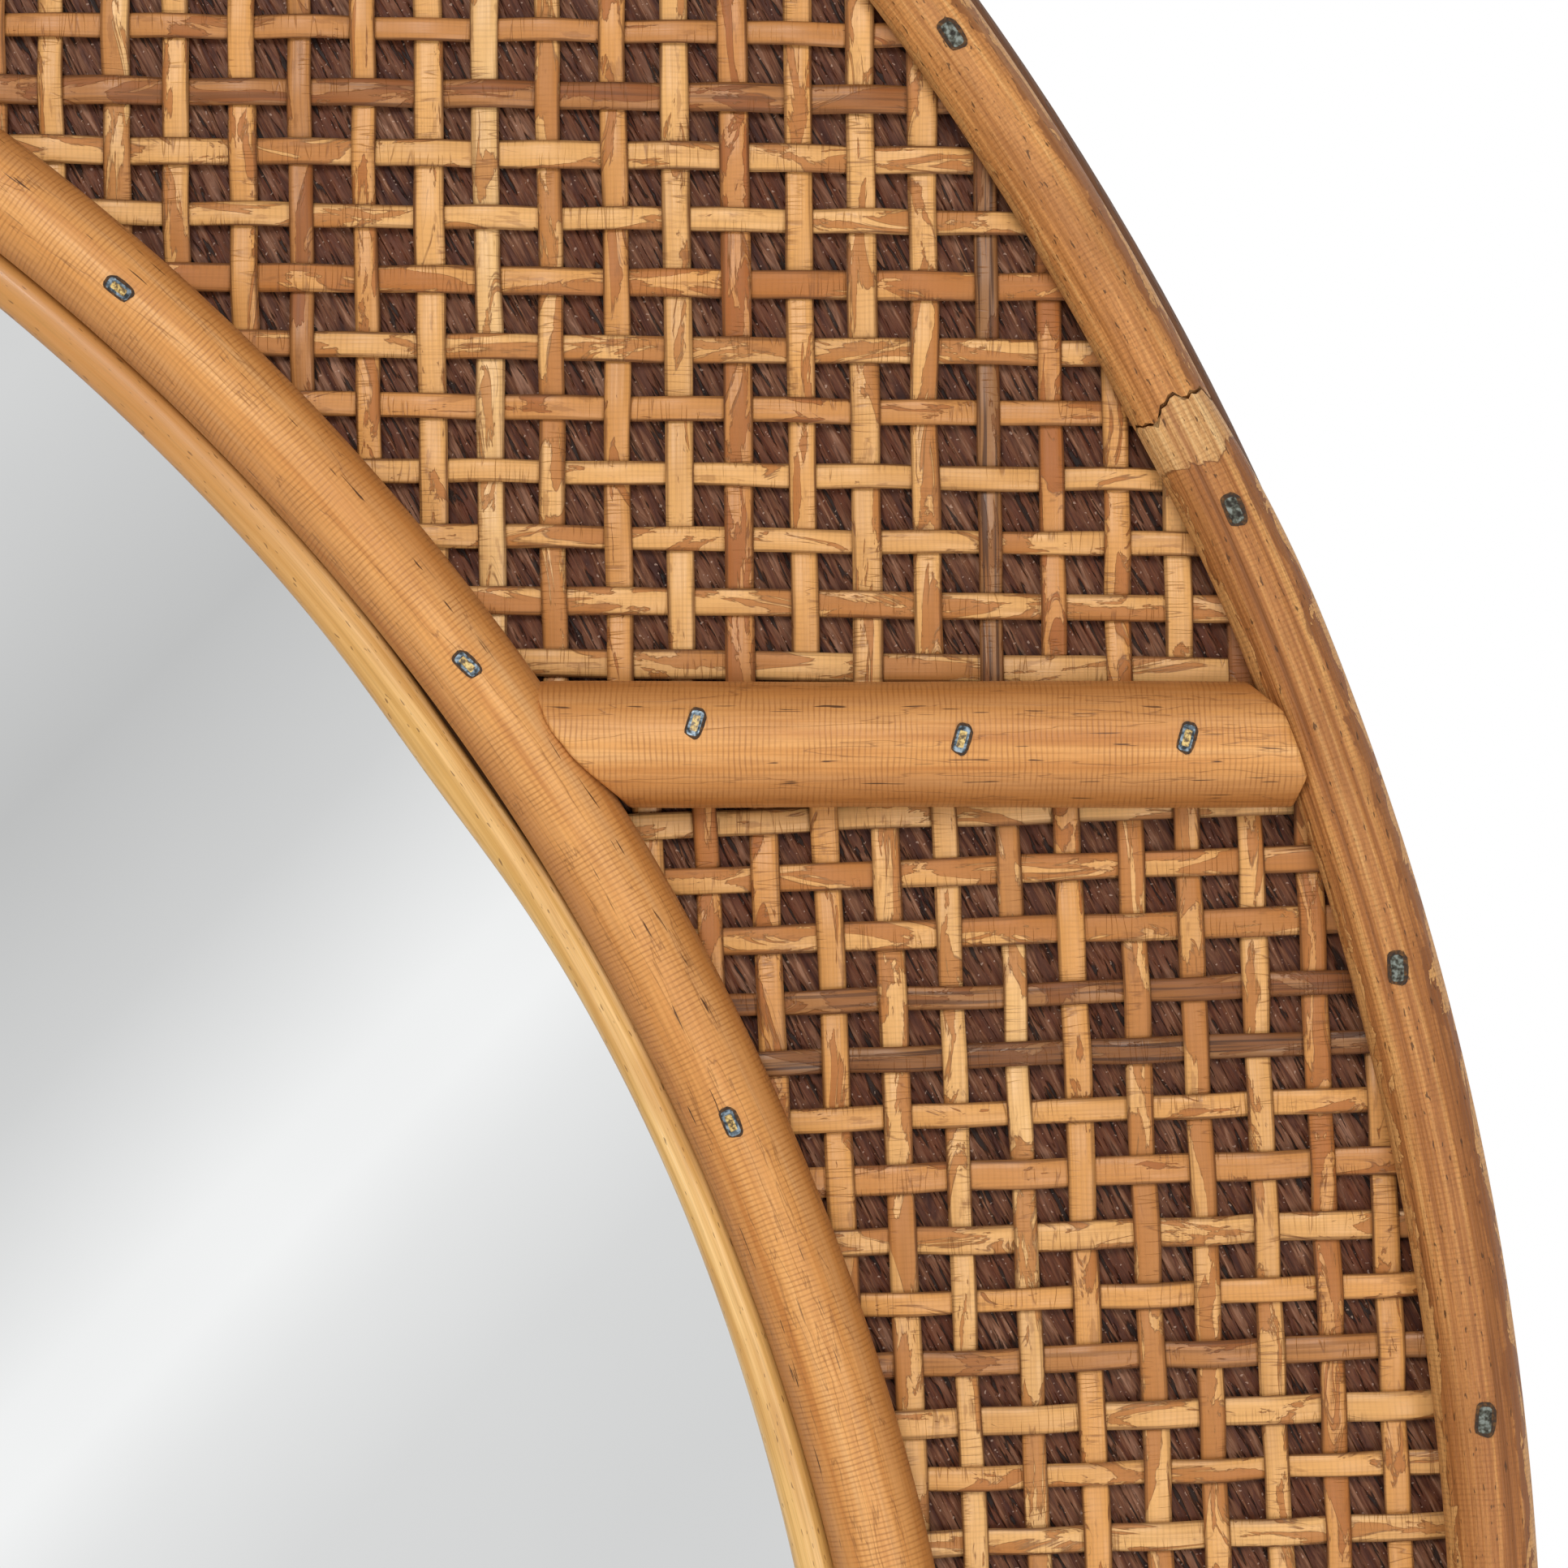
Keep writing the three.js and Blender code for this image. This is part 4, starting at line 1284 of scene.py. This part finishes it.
# What the glass mirrors: soft slanting bands of studio grey, brightest just right of the lens.
# Each is a slope from the view's axis, towards the lower right, and a grey.
BANDS = (
    (-0.160, "#D7D7D7"),
    (-0.100, "#C2C2C2"),
    (-0.060, "#D3D3D3"),
    (-0.020, "#F3F3F3"),
    (-0.006, "#F5F5F5"),
    (0.012, "#E8E8E8"),
    (0.040, "#DBDBDB"),
    (0.080, "#D6D6D6"),
)
BAND_SPAN = 0.2
BAND_CONE = (0.24, 0.45)  # off the view's axis, where the bands give way to plain grey


def studio_light():
    """White behind the mirror, soft grey bands in front of it, and two soft lights."""
    world = bpy.data.worlds.new("studio")
    bpy.context.scene.world = world
    world.use_nodes = True
    world.node_tree.nodes.clear()
    add = partial(node, world.node_tree)
    x, y, z = add("SeparateXYZ", add("TexCoord", out="Generated"), out=None)
    ahead = add("Math", add("Math", y, operation="ABSOLUTE"), 0.05, operation="MAXIMUM")
    slant = add("Math", x, z, operation="SUBTRACT")
    slope = add("Math", slant, ahead, operation="DIVIDE")
    span = BAND_SPAN * math.sqrt(2)
    stops = [((at + BAND_SPAN) / (2 * BAND_SPAN), grey) for at, grey in BANDS]
    bands = add("ValToRGB", add("MapRange", slope, -span, span), stops=stops)
    aside = add("VectorMath", add("CombineXYZ", x, 0.0, z), operation="LENGTH", out="Value")
    colour = layered(
        add,
        bands,
        (add("MapRange", aside, *BAND_CONE), 1.0, "#9A9A9A"),
        (add("MapRange", y, -0.05, 0.15), 1.0, "#FFFFFF"),
    )
    add("OutputWorld", add("Background", colour, 1.0), out=None)
    softbox("key_light", (-0.1, -2.2, 1.25), 1.1, 34)
    softbox("fill_light", (1.25, -2.0, -0.55), 0.9, 14)


LIGHT_TARGET = (0.2, 0, 0.1)


def softbox(name, place, size, watts):
    """A round soft light that faces the mirror."""
    data = bpy.data.lights.new(name, "AREA")
    data.shape = "DISK"
    data.size = size
    data.energy = watts
    light = bpy.data.objects.new(name, data)
    light.location = place
    offset = [target - at for target, at in zip(LIGHT_TARGET, place)]
    light.rotation_euler = (
        math.pi / 2 + math.atan2(offset[2], math.hypot(offset[0], offset[1])),
        0,
        math.atan2(offset[1], offset[0]) - math.pi / 2,
    )
    bpy.context.scene.collection.objects.link(light)


def camera():
    """Square on to the mirror, at the photograph's framing."""
    frame_width = PHOTO_PIXELS / PIXELS_PER_MM * MM
    distance = LENS_MM / SENSOR_MM * frame_width
    data = bpy.data.cameras.new("camera")
    data.lens = LENS_MM
    data.sensor_width = SENSOR_MM
    data.clip_start = 0.01
    eye = bpy.data.objects.new("camera", data)
    eye.location = (VIEW_X, -VIEW_PLANE - distance, VIEW_Z)
    eye.rotation_euler = (math.pi / 2, 0, 0)
    bpy.context.scene.collection.objects.link(eye)
    bpy.context.scene.camera = eye


def build():
    bpy.context.scene.view_settings.view_transform = "Standard"
    camera()
    studio_light()
    floor()
    smooth_pole = rattan_pole()
    upper_pole = scraped_pole("scraped_pole_upper", UPPER_TONES, 0.7, 0)
    lower_pole = scraped_pole("scraped_pole_lower", LOWER_TONES, 1.6, 1)
    strips = split_rattan()
    zinc = zinc_steel()
    crushed = shaded_crushed_fibre()
    # painted shade: darker staple steel for the outer ring's deep-set staples
    dull = staple_steel("shaded_staple", SHADED_STAPLE)
    bright_set = (crushed, staple_steel("bright_staple", BRIGHT_STAPLE), staple_glue())

    backboard(stained_plywood(), plywood_back())
    mirror_glass(silvered_glass())
    bead_ring(rattan_bead())
    inner = pole_ring(
        "inner_rattan_ring",
        "inner_pole_ring",
        smooth_pole,
        INNER_POLE,
        Bend(36, 900, 11, 0.18 * MM, 0.03 * MM),
    )
    gap = JOINT_GAP / UPPER_POLE.radius
    upper = pole_ring(
        "upper_rattan_arc",
        "outer_pole_upper",
        upper_pole,
        UPPER_POLE,
        Bend(44, 600, 23, 0.2 * MM, 0.06 * MM),
        (JOINT_ANGLE + gap, math.pi - 2 * gap),
        UPPER_POLE,
    )
    lower = pole_ring(
        "lower_rattan_arc",
        "outer_pole_lower",
        lower_pole,
        LOWER_POLE,
        Bend(44, 600, 37, 0.2 * MM, 0.09 * MM),
        (JOINT_ANGLE - math.pi + gap, math.pi - 2 * gap),
        UPPER_POLE,
    )
    struts = (strut(1, smooth_pole, LOWER_POLE), strut(-1, smooth_pole, UPPER_POLE))
    for panel in WEAVES:
        weave_panel(panel, strips)
    all_staples(bright_set, (crushed, dull, dull), inner, upper, lower, struts)
    for name in ("left_hanger_plate", "right_hanger_plate"):
        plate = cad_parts[name]
        plate.data.materials.clear()
        plate.data.materials.append(zinc)


build()
